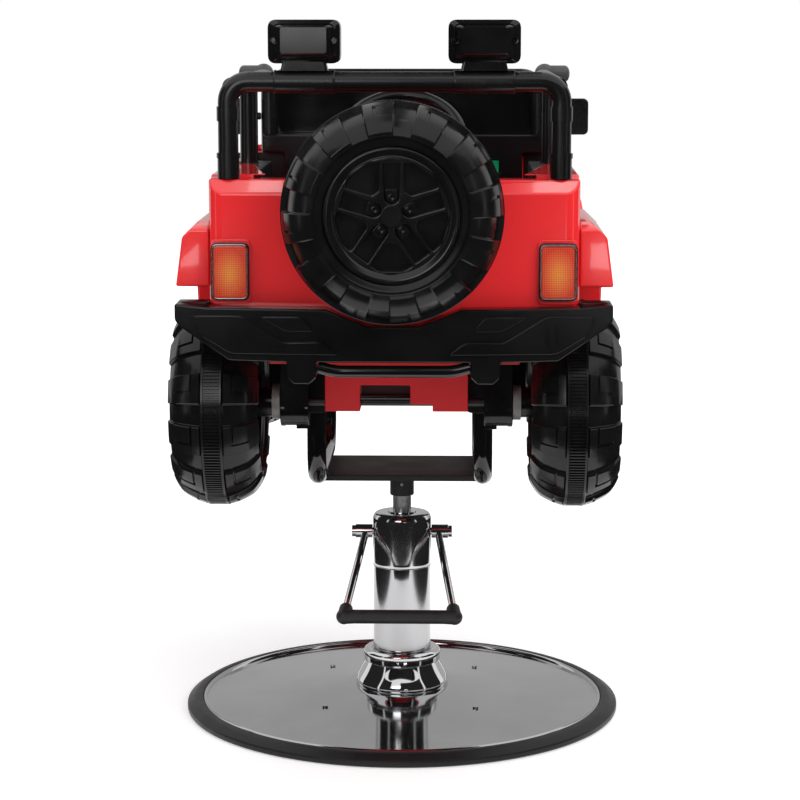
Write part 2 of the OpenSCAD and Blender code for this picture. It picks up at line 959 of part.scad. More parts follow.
// Bonnet panel with a raised middle, lying on the body's slope
module bonnet() {
  fall = body_top - nose_top;
  reach = body_end - bonnet_y;
  slope = atan2(fall, reach);
  length = norm([fall, reach]);
  margin = 1;
  full = length - margin;
  lip = plan_round;
  color("#d8232b") on_car() translate([0, bonnet_y + margin, body_top + seat_gap])
    rotate([-slope, 0, 0]) translate([0, full / 2, 0]) difference() {
      union() {
        linear_extrude(bonnet_t) rounded(2 * (body_hw - margin), full, plan_round);
        linear_extrude(bonnet_t + bulge_h) rounded(2 * bulge_hw, full - 2 * lip, plan_round);
      }
      translate([0, 0, -over]) linear_extrude(bonnet_t - bonnet_skin + over)
        rounded(2 * (body_hw - margin - lip), full - 2 * lip, bonnet_skin);
      translate([0, 0, -over]) linear_extrude(bonnet_t + bulge_h - bonnet_skin + over)
        rounded(2 * (bulge_hw - bonnet_skin), full - 2 * lip - 2 * bonnet_skin, lip - bonnet_skin);
    }
}

// Dark nose panel with level slats between the lights
module grille() {
  top = nose_top - skin;
  low = nose_low + skin;
  slats = 4;
  slat_t = 5;
  window_hw = 128;
  pocket = (top - low - 2 * skin - (slats - 1) * slat_t) / slats;
  color("#1a1a1a") on_car() difference() {
    translate([0, body_end + seat_gap + skin, (top + low) / 2]) rotate([90, 0, 0])
      linear_extrude(skin) rounded(2 * (body_hw - plan_round), top - low, skin);
    for (i = [0 : slats - 1])
      box([-window_hw, body_end + skin / 2, low + skin + i * (pocket + slat_t)],
        [window_hw, body_end + 2 * skin, low + skin + i * (pocket + slat_t) + pocket]);
  }
}

module headlights() {
  light_w = 52;
  light_h = 62;
  light_d = 10;
  light_x = 166;
  back = body_end + skin + 2 * seat_gap;
  color("#e8e8e0") on_car() twice()
    translate([light_x, back + light_d, (nose_top + nose_low) / 2]) rotate([90, 0, 0])
      linear_extrude(light_d) rounded(light_w, light_h, skin);
}

// Half outline of the rear bumper in X and Z
function bumper_half() = [
  [0, bumper_dip],
  [bumper_dip_hw, bumper_dip],
  [bumper_rise_x, tail_low - bumper_crest],
  [body_hw, tail_low],
  [bumper_hw, bumper_tip],
  [bumper_hw, bumper_knee[1] + skin],
  bumper_knee,
  bumper_chin,
  [tab_x[1], bumper_low],
  [tab_x[1], tab_low + tab_round],
  [tab_x[1] - tab_round, tab_low],
  [tab_x[0] + tab_round, tab_low],
  [tab_x[0], tab_low + tab_round],
  [tab_x[0], bumper_low],
  [0, bumper_low]
];

module rear_bumper() {
  back = bumper_back;
  color("#1a1a1a") on_car() difference() {
    union() {
      twice() along(back, back + bumper_d) polygon(bumper_half());
      twice() box([arm_mount[0], back + bumper_d - over, arm_mount_z[0]],
        [arm_mount[1], -tray_end - seat_gap, arm_mount_z[1]]);
      twice() box([body_hw + seat_gap, back + bumper_d - over, bumper_knee[1] + skin],
        [bumper_hw, back + 2 * bumper_d, bumper_tip]);
    }
    // Shallow pocket in the back between the mounts
    box([-arm_mount[0] + skin, back + bumper_d / 2, bumper_low + skin],
      [arm_mount[0] - skin, back + 2 * bumper_d, bumper_dip - skin]);
  }
}

module front_bumper() {
  back = body_end + bumper_ahead;
  nose_x = 238;
  chin_x = 190;
  color("#1a1a1a") on_car() {
    twice() along(back, back + bumper_d + skin / 2) polygon([
      [0, tail_low], [nose_x - skin, tail_low], [nose_x, tail_low - skin],
      [nose_x, bumper_knee[1]], [chin_x, bumper_low], [0, bumper_low]
    ]);
    twice() box([arm_mount[0], tray_end + seat_gap, arm_mount_z[0]],
      [arm_mount[1], back + over, arm_mount_z[1]]);
  }
}

module tow_bar() {
  color("#101010") on_car() translate([0, bumper_back + bumper_d / 2, -tow_drop])
    rod_x(tow_r, seat_gap - tab_x[0], tab_x[0] - seat_gap);
}

module tail_lights() {
  tail_d = 9;
  tail_round = 9;
  color("#e2401c") on_car() twice()
    translate([tail_x, -body_end - seat_gap, tail_z]) rotate([90, 0, 0])
      linear_extrude(tail_d) rounded(tail_w, tail_h, tail_round);
}

// Wing flare: a hollow box over the wheel with a leg down to the sill, chamfered outside
module flare() {
  x0 = body_hw + seat_gap;
  x1 = body_hw + flare_w;
  difference() {
    intersection() {
      across(x0, x1) polygon([
        [-flare_back, flare_low], [-flare_back, flare_top - flare_side_drop / 2],
        [-flare_back + flare_side_drop, flare_top], [flare_front, flare_top],
        [flare_knee, flare_knee_z], [flare_toe, sill_low], [flare_toe - flare_leg, sill_low],
        [flare_front + flare_leg, flare_low]
      ]);
      along(-2 * flare_toe, 2 * flare_toe) polygon([
        [x0, 0], [x1, 0], [x1, flare_low], [x1 - flare_lean, flare_top - flare_side_drop],
        [x1 - flare_lean - flare_side_drop, flare_top], [x0, flare_top]
      ]);
    }
    intersection() {
      across(x0 - over, x1 - flare_wall) polygon([
        [flare_wall - flare_back, flare_low - over],
        [flare_wall - flare_back, flare_top - flare_side_drop - flare_wall],
        [flare_front, flare_top - flare_side_drop - flare_wall],
        [flare_front + flare_leg - flare_wall, flare_low - over]
      ]);
      along(-2 * flare_toe, 2 * flare_toe) polygon([
        [x0 - over, 0], [x1 - flare_wall, 0], [x1 - flare_wall, flare_low],
        [x1 - flare_wall - flare_lean, flare_top - flare_side_drop], [x0 - over, flare_top]
      ]);
    }
  }
}

module rear_fenders() {
  color("#d8232b") on_car() twice() translate([0, -axle_y, 0]) flare();
}

module front_fenders() {
  color("#d8232b") on_car() twice() translate([0, axle_y, 0]) mirror([0, 1, 0]) flare();
}

// U-shaped tube in X and Z, open below, about the plane Y = 0
module tube_arch(half, top, low, radius, r) {
  rod_x(r, radius - half, half - radius);
  twice() {
    translate([half - radius, 0, -radius]) rotate([90, 0, 0]) bend(radius, r);
    translate([half, 0, low - top]) cylinder(r = r, h = top - low - radius);
  }
}

module windscreen_frame() {
  low = body_top + seat_gap;
  color("#161616") on_car() translate([0, screen_y, 0]) {
    translate([0, 0, screen_top]) tube_arch(screen_x, screen_top, low, hoop_bend, cage_r);
    translate([0, 0, low + cage_r]) rod_x(cage_r, -screen_x, screen_x);
  }
}

module windscreen() {
  half = screen_x - cage_r - seat_gap;
  low = body_top + 2 * seat_gap + 2 * cage_r;
  top = screen_top - cage_r - seat_gap;
  color("#202022") on_car() translate([0, screen_y + glass_t / 2, (low + top) / 2])
    rotate([90, 0, 0]) linear_extrude(glass_t) rounded(2 * half, top - low, cage_r);
}

module rear_hoop() {
  foot = body_top - tail_drop + seat_gap;
  ring_z = foot + post_ring_z;
  joint_z = hoop_z - hoop_bend - post_joint_drop;
  color("#141414") on_car() translate([0, hoop_y, 0]) {
    translate([0, 0, hoop_z]) tube_arch(hoop_x, hoop_z, foot, hoop_bend, cage_r);
    twice() translate([hoop_x, 0, 0]) {
      translate([0, 0, foot]) cylinder(r = cage_r + post_foot, h = ring_z - foot);
      translate([0, 0, ring_z]) cylinder(r = cage_r + post_ring_step, h = post_ring_t);
      translate([0, 0, joint_z]) cylinder(r = sleeve_r, h = post_joint_h);
    }
    twice() translate([lamp_x, 0, hoop_z])
      rod_x(sleeve_r, -sleeve_w / 2, sleeve_w / 2);
  }
}

// Side rails from the hoop to the screen frame, each with its post
module cage_rails() {
  color("#141414") on_car() twice() {
    translate([rail_x, 0, rail_z])
      rod_y(cage_r, hoop_y + cage_r + seat_gap, screen_y - cage_r - seat_gap);
    translate([rail_x, post_y, body_top + seat_gap])
      cylinder(r = cage_r - post_step, h = rail_z - body_top - seat_gap);
    translate([rail_x, post_y, body_top + seat_gap])
      cylinder(r = cage_r + post_foot, h = post_ring_step);
  }
}

// Two lamps that face forward, each on a flared neck over the hoop's sleeve
module roof_lamps() {
  neck_low = hoop_z + sleeve_r + seat_gap;
  lamp_low = hoop_z + lamp_lift;
  bevel = lamp_bevel;
  color("#161616") on_car() twice() translate([lamp_x, hoop_y, 0]) {
    translate([0, lamp_d / 2 - bevel, lamp_low + lamp_h / 2]) rotate([90, 0, 0])
      linear_extrude(lamp_d - bevel) rounded(lamp_w, lamp_h, 2 * bevel);
    translate([0, over - lamp_d / 2, lamp_low + lamp_h / 2]) rotate([90, 0, 0])
      linear_extrude(bevel + over) rounded(lamp_w - bevel, lamp_h - bevel, 2 * bevel);
    box([-lamp_neck_w / 2, -cage_r, neck_low], [lamp_neck_w / 2, cage_r, lamp_low + bevel]);
  }
}

// Moulded seat: a hollow squab, a back and a narrow headrest
module seat() {
  low = floor_low + floor_t + seat_gap;
  wall_t = seat_wall;
  color("#1b1b1b") on_car() difference() {
    union() {
      box([-seat_hw, seat_back_y, low], [seat_hw, seat_front_y, low + squab_h]);
      box([-seat_hw, seat_back_y, low], [seat_hw, seat_back_y + back_t, back_top]);
      translate([0, seat_back_y + back_t, head_top / 2 + low / 2]) rotate([90, 0, 0])
        linear_extrude(back_t) rounded(2 * head_hw, head_top - low, rest_round);
    }
    box([wall_t - seat_hw, seat_back_y + back_t, low - over],
      [seat_hw - wall_t, seat_front_y - wall_t, low + squab_h - wall_t]);
    box([wall_t - seat_hw, seat_back_y - over, low - over],
      [seat_hw - wall_t, seat_back_y + back_t - 2 * wall_t, back_top - wall_t]);
  }
}

// Upright panel under the screen, with a wider ledge on top of the body
module dashboard() {
  front = cowl_y - seat_gap;
  panel_hw = cabin_hw - panel_play;
  ledge_z = body_top + seat_gap;
  pocket_y = dash_back + rocker[1];
  play = rocker_play;
  color("#191919") on_car() difference() {
    union() {
      box([-panel_hw, dash_back, dash_low], [panel_hw, front, dash_top]);
      box([-dash_hw, dash_back, ledge_z], [dash_hw, front, dash_top]);
    }
    twice() box([rocker_x + rocker[0], dash_back + wall, dash_low - over],
      [panel_hw - wall, front + over, ledge_z]);
    box([-rim_r, front - wall, dash_low + wall], [rim_r, front + over, ledge_z]);
    translate([rocker_x - rocker[0] / 2 - seat_gap, dash_back - over,
      rocker_z - rocker[2] / 2 - play])
      cube([rocker[0] + 2 * seat_gap, pocket_y - dash_back + over, rocker[2] + 2 * play]);
    translate([rocker_x, dash_back + 2 * rocker_pin, rocker_z])
      rod_x(rocker_pin + 2 * fit, -rocker[0] / 2 - 2 * rocker_pin, rocker[0] / 2 + 2 * rocker_pin);
    column_frame() cylinder(r = column_r + fit, h = column_len);
  }
}

module rocker_button() {
  proud = rocker_proud;
  depth = rocker[1] - rocker_room;
  color("#0a8c5a") on_car() translate([rocker_x, dash_back + 2 * rocker_pin, rocker_z]) {
    box([-rocker[0] / 2, -proud - 2 * rocker_pin, -rocker[2] / 2],
      [rocker[0] / 2, depth - 2 * rocker_pin, rocker[2] / 2]);
    rod_x(rocker_pin, -rocker[0] / 2 - rocker_pin, rocker[0] / 2 + rocker_pin);
  }
}

// Wheels: local frame at the wheel's middle, +Z along the axle towards the outside
module hub_disc() {
  slot_end = cap_ring_in + over;
  slot_start = cap_boss_r + slot_room;
  difference() {
    union() {
      cylinder(r = rim_open - seat_gap, h = cap_t);
      ring(cap_ring_in, rim_open - seat_gap, cap_ring_h);
      cylinder(r = cap_boss_r, h = cap_boss_h);
      for (i = [0 : spokes - 1])
        rotate([0, 0, 90 + i * 360 / spokes]) translate([0, -spoke_w / 2, 0])
          cube([slot_end, spoke_w, spoke_h]);
    }
    for (i = [0 : spokes - 1])
      rotate([0, 0, 90 + i * 360 / spokes])
        translate([slot_start, -spoke_slot / 2, cap_t])
          cube([slot_end - slot_start - 2 * over, spoke_slot, spoke_h]);
    translate([0, 0, -over]) cylinder(r = axle_r + fit, h = 2 * cap_boss_h);
  }
}

// The tyre's outline narrows from the lugs' width to the sidewalls' width
function core_crown() =
  [for (c = crown) [tread_r - c[1], c[0] * wheel_side / wheel_face]];

function reversed(list) = [for (i = [len(list) - 1 : -1 : 0]) list[i]];

function other_side(list) = [for (p = reversed(list)) [p[0], -p[1]]];

module wheel_core(hub_back) {
  rotate_extrude() polygon(concat(
    [
      [axle_r + fit, -hub_back],
      [hub_wheel_r, -hub_back],
      [hub_wheel_r, rim_seat - rim_web],
      [hollow[0][0], rim_seat - rim_web]
    ],
    hollow,
    other_side(hollow),
    [
      [hollow[0][0], -wheel_side],
      [lug_side_r - band_h, -wheel_side]
    ],
    other_side(core_crown()),
    [
      [tread_r, -band_hw],
      [tread_r + band_h, -band_hw],
      [tread_r + band_h, band_hw],
      [tread_r, band_hw]
    ],
    core_crown(),
    [
      [lug_side_r - band_h, wheel_side],
      [rim_open, wheel_side],
      [rim_open, rim_seat],
      [axle_r + fit, rim_seat]
    ]
  ));
}

module wheel_lugs(turn) {
  half = 180 / lugs * lug_share;
  far = lug_reach_share * wheel_r;
  near = lug_side_r / 2;
  intersection() {
    for (s = [0, 1])
      mirror([0, 0, s]) rotate_extrude() polygon(concat(
        [[tread_r - over, crown[0][0]]],
        [for (c = crown) [wheel_r - c[1], c[0]]],
        [[lug_side_r, wheel_face], [lug_side_r - band_h, wheel_side - over]]
      ));
    translate([0, 0, -wheel_w]) linear_extrude(2 * wheel_w)
      for (i = [0 : lugs - 1])
        rotate([0, 0, turn + i * 360 / lugs]) polygon([
          [near, -near * tan(half)], [far, -far * tan(half)],
          [far, far * tan(half)], [near, near * tan(half)]
        ]);
  }
}

module road_wheel(side) {
  color("#1d1d1d") {
    wheel_core(wheel_hub_in);
    wheel_lugs(side * road_lug_turn);
    translate([0, 0, rim_seat]) hub_disc();
  }
}

// Places a wheel's own frame at a corner of the car: side -1 is left, 1 is right
module corner(side, end) {
  on_car() translate([side * wheel_x, end * axle_y, -axle_drop]) rotate([0, side * 90, 0])
    children();
}

module wheel_rear_left() {
  corner(-1, -1) road_wheel(-1);
}

module wheel_rear_right() {
  corner(1, -1) road_wheel(1);
}

module wheel_front_left() {
  corner(-1, 1) road_wheel(-1);
}

module wheel_front_right() {
  corner(1, 1) road_wheel(1);
}

// The spare's own +Z points to the rear of the car, its own +Y up
module spare_frame() {
  on_car() translate([0, spare_y, spare_z]) rotate([90, 0, 0]) children();
}

module spare_wheel() {
  color("#1d1d1d") spare_frame() {
    wheel_core(wheel_side);
    wheel_lugs(spare_lug_turn);
  }
}

module spare_hubcap() {
  color("#3a3a3a") spare_frame() translate([0, 0, rim_seat + seat_gap]) hub_disc();
}

// Plate on the tail and the stud through the spare wheel, with its cap nut
module spare_carrier() {
  plate = 62;
  plate_d = 7;
  nut_z = rim_seat + seat_gap + cap_boss_h + seat_gap;
  stud_back = spare_y + body_end;
  color("#151515") spare_frame() {
    translate([0, 0, stud_back + seat_gap]) linear_extrude(plate_d)
      rounded(2 * plate, plate + skin, skin);
    translate([0, 0, stud_back + seat_gap])
      cylinder(r = axle_r, h = nut_z - stud_back);
    translate([0, 0, nut_z]) cylinder(r = cap_nut_r, h = axle_nut_t);
  }
}

// Rod with a bright collar at each gearbox and a nut at each end
module rear_axle() {
  boss = wheel_x + rim_seat + cap_boss_h + seat_gap;
  collar_out = wheel_x - wheel_hub_in - seat_gap;
  color("#c4c4c4") on_car() translate([0, -axle_y, -axle_drop]) {
    rod_x(axle_r, -boss - axle_nut_t, boss + axle_nut_t);
    twice() rod_x(spacer_r, collar_out - collar_w, collar_out);
    twice() rod_x(axle_nut_r, boss, boss + axle_nut_t);
  }
}

module gearboxes() {
  outer = wheel_x - wheel_hub_in - seat_gap - collar_w - seat_gap;
  color("#141414") on_car() twice() translate([0, -axle_y, 0]) difference() {
    union() {
      translate([0, 0, -axle_drop - gearbox_sag]) rod_x(gearbox_r, gearbox_in, outer);
      box([gearbox_in, -gearbox_r, -axle_drop - gearbox_sag], [outer, gearbox_r, -seat_gap]);
    }
    translate([0, 0, -axle_drop]) rod_x(axle_r + fit, 0, 2 * tray_hw);
  }
}

// Beam under the nose of the tray with a yoke for each knuckle and the column's bearing
module front_axle() {
  end = king_x + knuckle_x;
  yoke_top = -axle_drop + knuckle_half + seat_gap;
  yoke_low = -axle_drop - knuckle_half - seat_gap;
  bearing_r = 2 * column_r;
  bearing_at = 22;
  color("#171717") on_car() difference() {
    union() {
      box([-front_tray_hw, axle_y - beam_y, yoke_low - arm_t],
        [front_tray_hw, axle_y + beam_y, -seat_gap]);
      twice() for (z = [yoke_low - arm_t, yoke_top])
        translate([0, axle_y - beam_y, z])
          cube([end, 2 * beam_y, arm_t]);
      column_frame() translate([0, 0, bearing_at])
        cylinder(r = bearing_r, h = arm_t);
      box([-column_r, steer_y + rod_half, -arm_t], [column_r, axle_y, -seat_gap]);
    }
    twice() translate([king_x, axle_y, -beam_low - axle_drop])
      cylinder(r = king_r + fit, h = 2 * beam_low);
    column_frame() translate([0, 0, -2 * column_r]) cylinder(r = column_r + fit, h = 6 * arm_t);
  }
}

// Knuckle with its kingpin, stub axle, nut and steering arm, at the right side
module knuckle() {
  boss = wheel_x + rim_seat + cap_boss_h + seat_gap;
  arm_low = rod_low - seat_gap - rod_t;
  pin_half = knuckle_half + arm_t;
  on_car() {
    translate([king_x, axle_y, -axle_drop]) {
      box([-knuckle_x, -knuckle_y, -knuckle_half], [knuckle_x, knuckle_y, knuckle_half]);
      translate([0, 0, -pin_half]) cylinder(r = king_r, h = 2 * pin_half);
    }
    translate([0, axle_y, -axle_drop]) {
      rod_x(axle_r, king_x, boss + axle_nut_t);
      rod_x(axle_nut_r, boss, boss + axle_nut_t);
      rod_x(knuckle_stub_r, king_x, wheel_x - wheel_hub_in - seat_gap);
    }
    translate([king_x - rod_half, steer_y, arm_low]) cube([2 * rod_half, knuckle_arm, rod_t]);
    translate([king_x, steer_y, arm_low]) {
      cylinder(r = rod_half, h = rod_t);
      cylinder(r = link_pin_r, h = 2 * rod_t + pin_stand);
    }
  }
}

module knuckle_left() {
  color("#2a2a2a") mirror([1, 0, 0]) knuckle();
}

module knuckle_right() {
  color("#2a2a2a") knuckle();
}

// Flat bar with a slotted eye at each end and a fork for the crank's ball
module tie_rod() {
  hole_r = link_pin_r + link_play;
  color("#9c9c9c") on_car() translate([0, steer_y, rod_low]) difference() {
    union() {
      box([-king_x, -rod_half, 0], [king_x, rod_half, rod_t]);
      twice() translate([king_x, 0, 0]) cylinder(r = rod_half + eye_step, h = rod_t);
      twice() box([prong_gap, -rod_half, 0],
        [prong_gap + prong, rod_half, crank_z - rod_low + prong_play]);
    }
    twice() translate([king_x, 0, -over]) {
      cylinder(r = hole_r, h = rod_t + 2 * over);
      translate([0, link_slot, 0]) cylinder(r = hole_r, h = rod_t + 2 * over);
      translate([-hole_r, 0, 0]) cube([2 * hole_r, link_slot, rod_t + 2 * over]);
    }
  }
}

// Column: local frame at its foot, +Z up along it, +Y forwards and up
module column_frame() {
  translate([0, foot_y, foot_z]) rotate([column_tilt, 0, 0]) children();
}

module steering_column() {
  color("#5a5a5a") on_car() column_frame() {
    translate([0, 0, -column_r]) cylinder(r = column_r, h = column_len + column_r);
    box([-crank_half, -crank_len, -crank_half], [crank_half, 0, crank_half]);
    translate([0, -crank_len, 0]) sphere(r = crank_ball);
  }
}

module steering_wheel() {
  hub = 22;
  hub_low = 10;
  hub_high = 14;
  spoke_t = 7;
  arm_w = 24;
  color("#1a1a1a") on_car() column_frame() translate([0, 0, column_len]) difference() {
    union() {
      rotate_extrude() translate([rim_r - rim_tube, 0]) circle(r = rim_tube);
      translate([0, 0, -hub_low]) cylinder(r = hub, h = hub_low + hub_high);
      for (a = [0, 180, 270])
        rotate([0, 0, a]) translate([0, -arm_w / 2, -spoke_t / 2])
          cube([rim_r - rim_tube, arm_w, spoke_t]);
    }
    translate([0, 0, -2 * hub_low]) cylinder(r = column_r + fit, h = 2 * hub_low + seat_gap);
    translate([0, 0, horn_floor]) cylinder(r = horn_r + seat_gap, h = hub_high);
  }
}

module horn_button() {
  low = horn_floor + horn_travel + seat_gap;
  color("#2b2b2b") on_car() column_frame() translate([0, 0, column_len + low])
    cylinder(r = horn_r, h = horn_h);
}

module mirrors() {
  mirror_w = 48;
  mirror_h = 50;
  mirror_d = 14;
  stalk_r = 5;
  mirror_z = 274;
  mirror_x = 257;
  color("#171717") on_car() twice() translate([0, screen_y, mirror_z]) {
    translate([mirror_x - mirror_w / 2, mirror_d / 2 - stalk_r, 0]) rotate([90, 0, 0])
      linear_extrude(mirror_d) rounded(mirror_w, mirror_h, mirror_d / 2);
    rod_x(stalk_r, screen_x + cage_r + seat_gap, mirror_x - mirror_w / 2);
  }
}

rubber_edge();
base_dish();
ballast_ring();
base_bolts();
pump_flange();
bell_cover();
ring_collar();
pump_tube();
pump_head();
gland_bush();
inner_cylinder();
pump_plunger();
pedal_frame();
pedal_grip();
pedal_shafts();
ram();
piston_head();
swivel_plate();
support_loop_left();
support_loop_right();
frame_bolts();
chassis();
body_shell();
bonnet();
grille();
headlights();
front_bumper();
rear_bumper();
tow_bar();
tail_lights();
rear_fenders();
front_fenders();
windscreen_frame();
windscreen();
rear_hoop();
cage_rails();
roof_lamps();
seat();
dashboard();
spare_wheel();
spare_hubcap();
spare_carrier();
rear_axle();
gearboxes();
front_axle();
mirrors();
wheel_rear_left();
wheel_rear_right();
wheel_front_left();
wheel_front_right();
knuckle_left();
knuckle_right();
tie_rod();
steering_column();
steering_wheel();
horn_button();
rocker_button();
door_left();
door_right();
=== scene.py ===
import json
import math
import bmesh
import bpy
from mathutils import Matrix, Vector
from mathutils.geometry import delaunay_2d_cdt


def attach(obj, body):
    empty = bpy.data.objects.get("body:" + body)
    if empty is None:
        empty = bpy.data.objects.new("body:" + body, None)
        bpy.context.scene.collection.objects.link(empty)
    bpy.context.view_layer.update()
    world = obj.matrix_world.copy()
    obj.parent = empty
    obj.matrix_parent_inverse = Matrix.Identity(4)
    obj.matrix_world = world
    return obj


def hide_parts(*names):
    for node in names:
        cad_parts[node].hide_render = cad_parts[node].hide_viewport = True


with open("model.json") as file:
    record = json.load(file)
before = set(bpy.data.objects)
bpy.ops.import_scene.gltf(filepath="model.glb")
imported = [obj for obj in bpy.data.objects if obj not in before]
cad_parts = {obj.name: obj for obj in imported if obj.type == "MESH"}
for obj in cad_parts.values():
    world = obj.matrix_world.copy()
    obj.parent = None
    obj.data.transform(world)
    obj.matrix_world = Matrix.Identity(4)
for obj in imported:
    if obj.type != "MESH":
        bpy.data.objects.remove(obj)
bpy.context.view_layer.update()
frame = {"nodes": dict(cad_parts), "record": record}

# The camera and the studio are in metres. The pieces' dictionaries are in millimetres and degrees, and
# addPiece turns a mesh into metres.
mm = 0.001
bodyOf = {node: body for body, nodes in frame["record"]["behaviour"]["bodies"].items() for node in nodes}

# Camera and studio
camera = {
    "place": (0.072, -3.222, 0.947),
    "tiltDown": 9.11,
    "turnLeft": 1.33,
    "lens": 106.65,
    "sensor": 36.0,
    "farEnd": 40,
}

studio = {
    "skyForDiffuse": 0.62,
    "skySeen": 1.0,
    "floorColour": (0.82, 0.82, 0.82, 1.0),
    "floorSize": 16.0,
    "floorDrop": 0.0006,
    "glowNear": 0.36,
    "glowFar": 0.75,
    "nearReach": 0.9,
    "farReach": 3.2,
    "lamps": (("key", 66.0, 2.2, (2.0, -2.5, 2.6), (0, -0.1, 0.55)),  # watts, size, place, target
              ("top", 40.0, 2.6, (0.2, 0.2, 3.4), (0, 0, 0.4)),
              ("fill", 24.0, 2.0, (-2.6, -2.0, 1.7), (0, -0.1, 0.5))),
}

# Dark and bright cards that only shiny surfaces see. Angles go round from the rear (0) to the right (90).
cards = {
    "radius": 3.1,
    "dark": 0.022,
    "bright": 3.2,
    "steps": 6,
    "walls": (("RearRight", -3, 56, 0, 2.5), ("RearMiddle", -28, -3, 0, 0.86),
              ("RearLeft", -56, -28, 0, 2.5), ("Right", 61, 112, 0, 2.5), ("Left", -112, -61, 0, 2.5)),
    "floorHalfWide": 0.6,
    "floorRear": -0.82,
    "floorFront": 0.95,
    "floorFar": 4.5,
    "floorHigh": 0.001,
    "softbox": ((-1.5, -3.3, 0.9), (-0.12, -3.3, 0.9), (-0.12, -3.3, 1.9), (-1.5, -3.3, 1.9)),
    "far": 0.52,
    "farWall": ("Far", 128, 232, 0.05, 2.4),
    "ceiling": ((-0.27, -1.7, 3.25), (0.18, -1.7, 3.25), (0.5, 4.0, 3.25), (-0.5, 4.0, 3.25)),
    "glint": 5.0,
    "glints": (((-1.0, -2.9, 0.385), (-0.475, -2.9, 0.39), (-0.475, -2.9, 0.462), (-0.6, -2.9, 0.41)),
               ((0.352, -2.9, 0.385), (0.8, -2.9, 0.385), (0.8, -2.9, 0.46), (0.352, -2.9, 0.465)),
               ((-0.40, -0.74, 3.2), (-0.31, -0.74, 3.2), (-0.31, -0.42, 3.2), (-0.37, -0.42, 3.2)),
               ((0.235, -0.74, 3.2), (0.35, -0.74, 3.2), (0.35, -0.42, 3.2), (0.26, -0.42, 3.2))),
}


def node(tree, kind, **values):
    made = tree.nodes.new(kind)
    for name, value in values.items():
        setattr(made, name, value)
    return made


def link(tree, source, target):
    tree.links.new(source, target)


def freshMaterial(name):
    material = bpy.data.materials.new(name)
    material.use_nodes = True
    material.node_tree.nodes.clear()
    return material, material.node_tree


def whiteGlow(tree, strength):
    glow = node(tree, "ShaderNodeEmission")
    glow.inputs["Color"].default_value = (1, 1, 1, 1)
    glow.inputs["Strength"].default_value = strength
    return glow


def mapRange(tree, source, *ends):
    made = node(tree, "ShaderNodeMapRange")
    for socket, value in zip(("From Min", "From Max", "To Min", "To Max"), ends):
        made.inputs[socket].default_value = value
    link(tree, source, made.inputs["Value"])
    return made.outputs[0]


def larger(tree, first, second):
    made = node(tree, "ShaderNodeMath", operation="MAXIMUM")
    link(tree, first, made.inputs[0])
    link(tree, second, made.inputs[1])
    return made.outputs[0]


def setCamera():
    data = bpy.data.cameras.new("camera")
    data.lens = camera["lens"]
    data.sensor_width = camera["sensor"]
    data.clip_end = camera["farEnd"]
    obj = bpy.data.objects.new("camera", data)
    obj.location = camera["place"]
    obj.rotation_euler = (math.radians(90 - camera["tiltDown"]), 0, math.radians(camera["turnLeft"]))
    bpy.context.collection.objects.link(obj)
    bpy.context.scene.camera = obj


def setWorld():
    world = bpy.data.worlds.new("studio")
    bpy.context.scene.world = world
    world.use_nodes = True
    tree = world.node_tree
    tree.nodes.clear()
    out = node(tree, "ShaderNodeOutputWorld")
    mix = node(tree, "ShaderNodeMixShader")
    paths = node(tree, "ShaderNodeLightPath").outputs
    soft = node(tree, "ShaderNodeBackground")
    soft.inputs["Strength"].default_value = studio["skyForDiffuse"]
    white = node(tree, "ShaderNodeBackground")
    white.inputs["Strength"].default_value = studio["skySeen"]
    for shader in (soft, white):
        shader.inputs["Color"].default_value = (1, 1, 1, 1)
    seenOrShiny = larger(tree, paths["Is Camera Ray"], paths["Is Glossy Ray"])
    link(tree, larger(tree, seenOrShiny, paths["Is Transmission Ray"]), mix.inputs[0])
    link(tree, soft.outputs[0], mix.inputs[1])
    link(tree, white.outputs[0], mix.inputs[2])
    link(tree, mix.outputs[0], out.inputs[0])


def areaLamp(name, watts, size, place, target):
    data = bpy.data.lights.new(name, "AREA")
    data.energy = watts
    data.size = size
    obj = bpy.data.objects.new(name, data)
    obj.location = place
    obj.rotation_euler = (Vector(target) - Vector(place)).to_track_quat("-Z", "Y").to_euler()
    obj.visible_glossy = False
    bpy.context.collection.objects.link(obj)


def stagePlane(name, corners, faces, material):
    mesh = bpy.data.meshes.new(name)
    mesh.from_pydata(corners, [], faces)
    mesh.materials.append(material)
    obj = bpy.data.objects.new(name, mesh)
    bpy.context.collection.objects.link(obj)
    return obj


def card(name, corners, faces, material):
    obj = stagePlane(name, corners, faces, material)
    obj.visible_camera = False
    obj.visible_diffuse = False
    obj.visible_transmission = False
    obj.visible_shadow = False


def cardFinish(name, brightness):
    material, tree = freshMaterial(name)
    out = node(tree, "ShaderNodeOutputMaterial")
    link(tree, whiteGlow(tree, brightness).outputs[0], out.inputs[0])
    return material


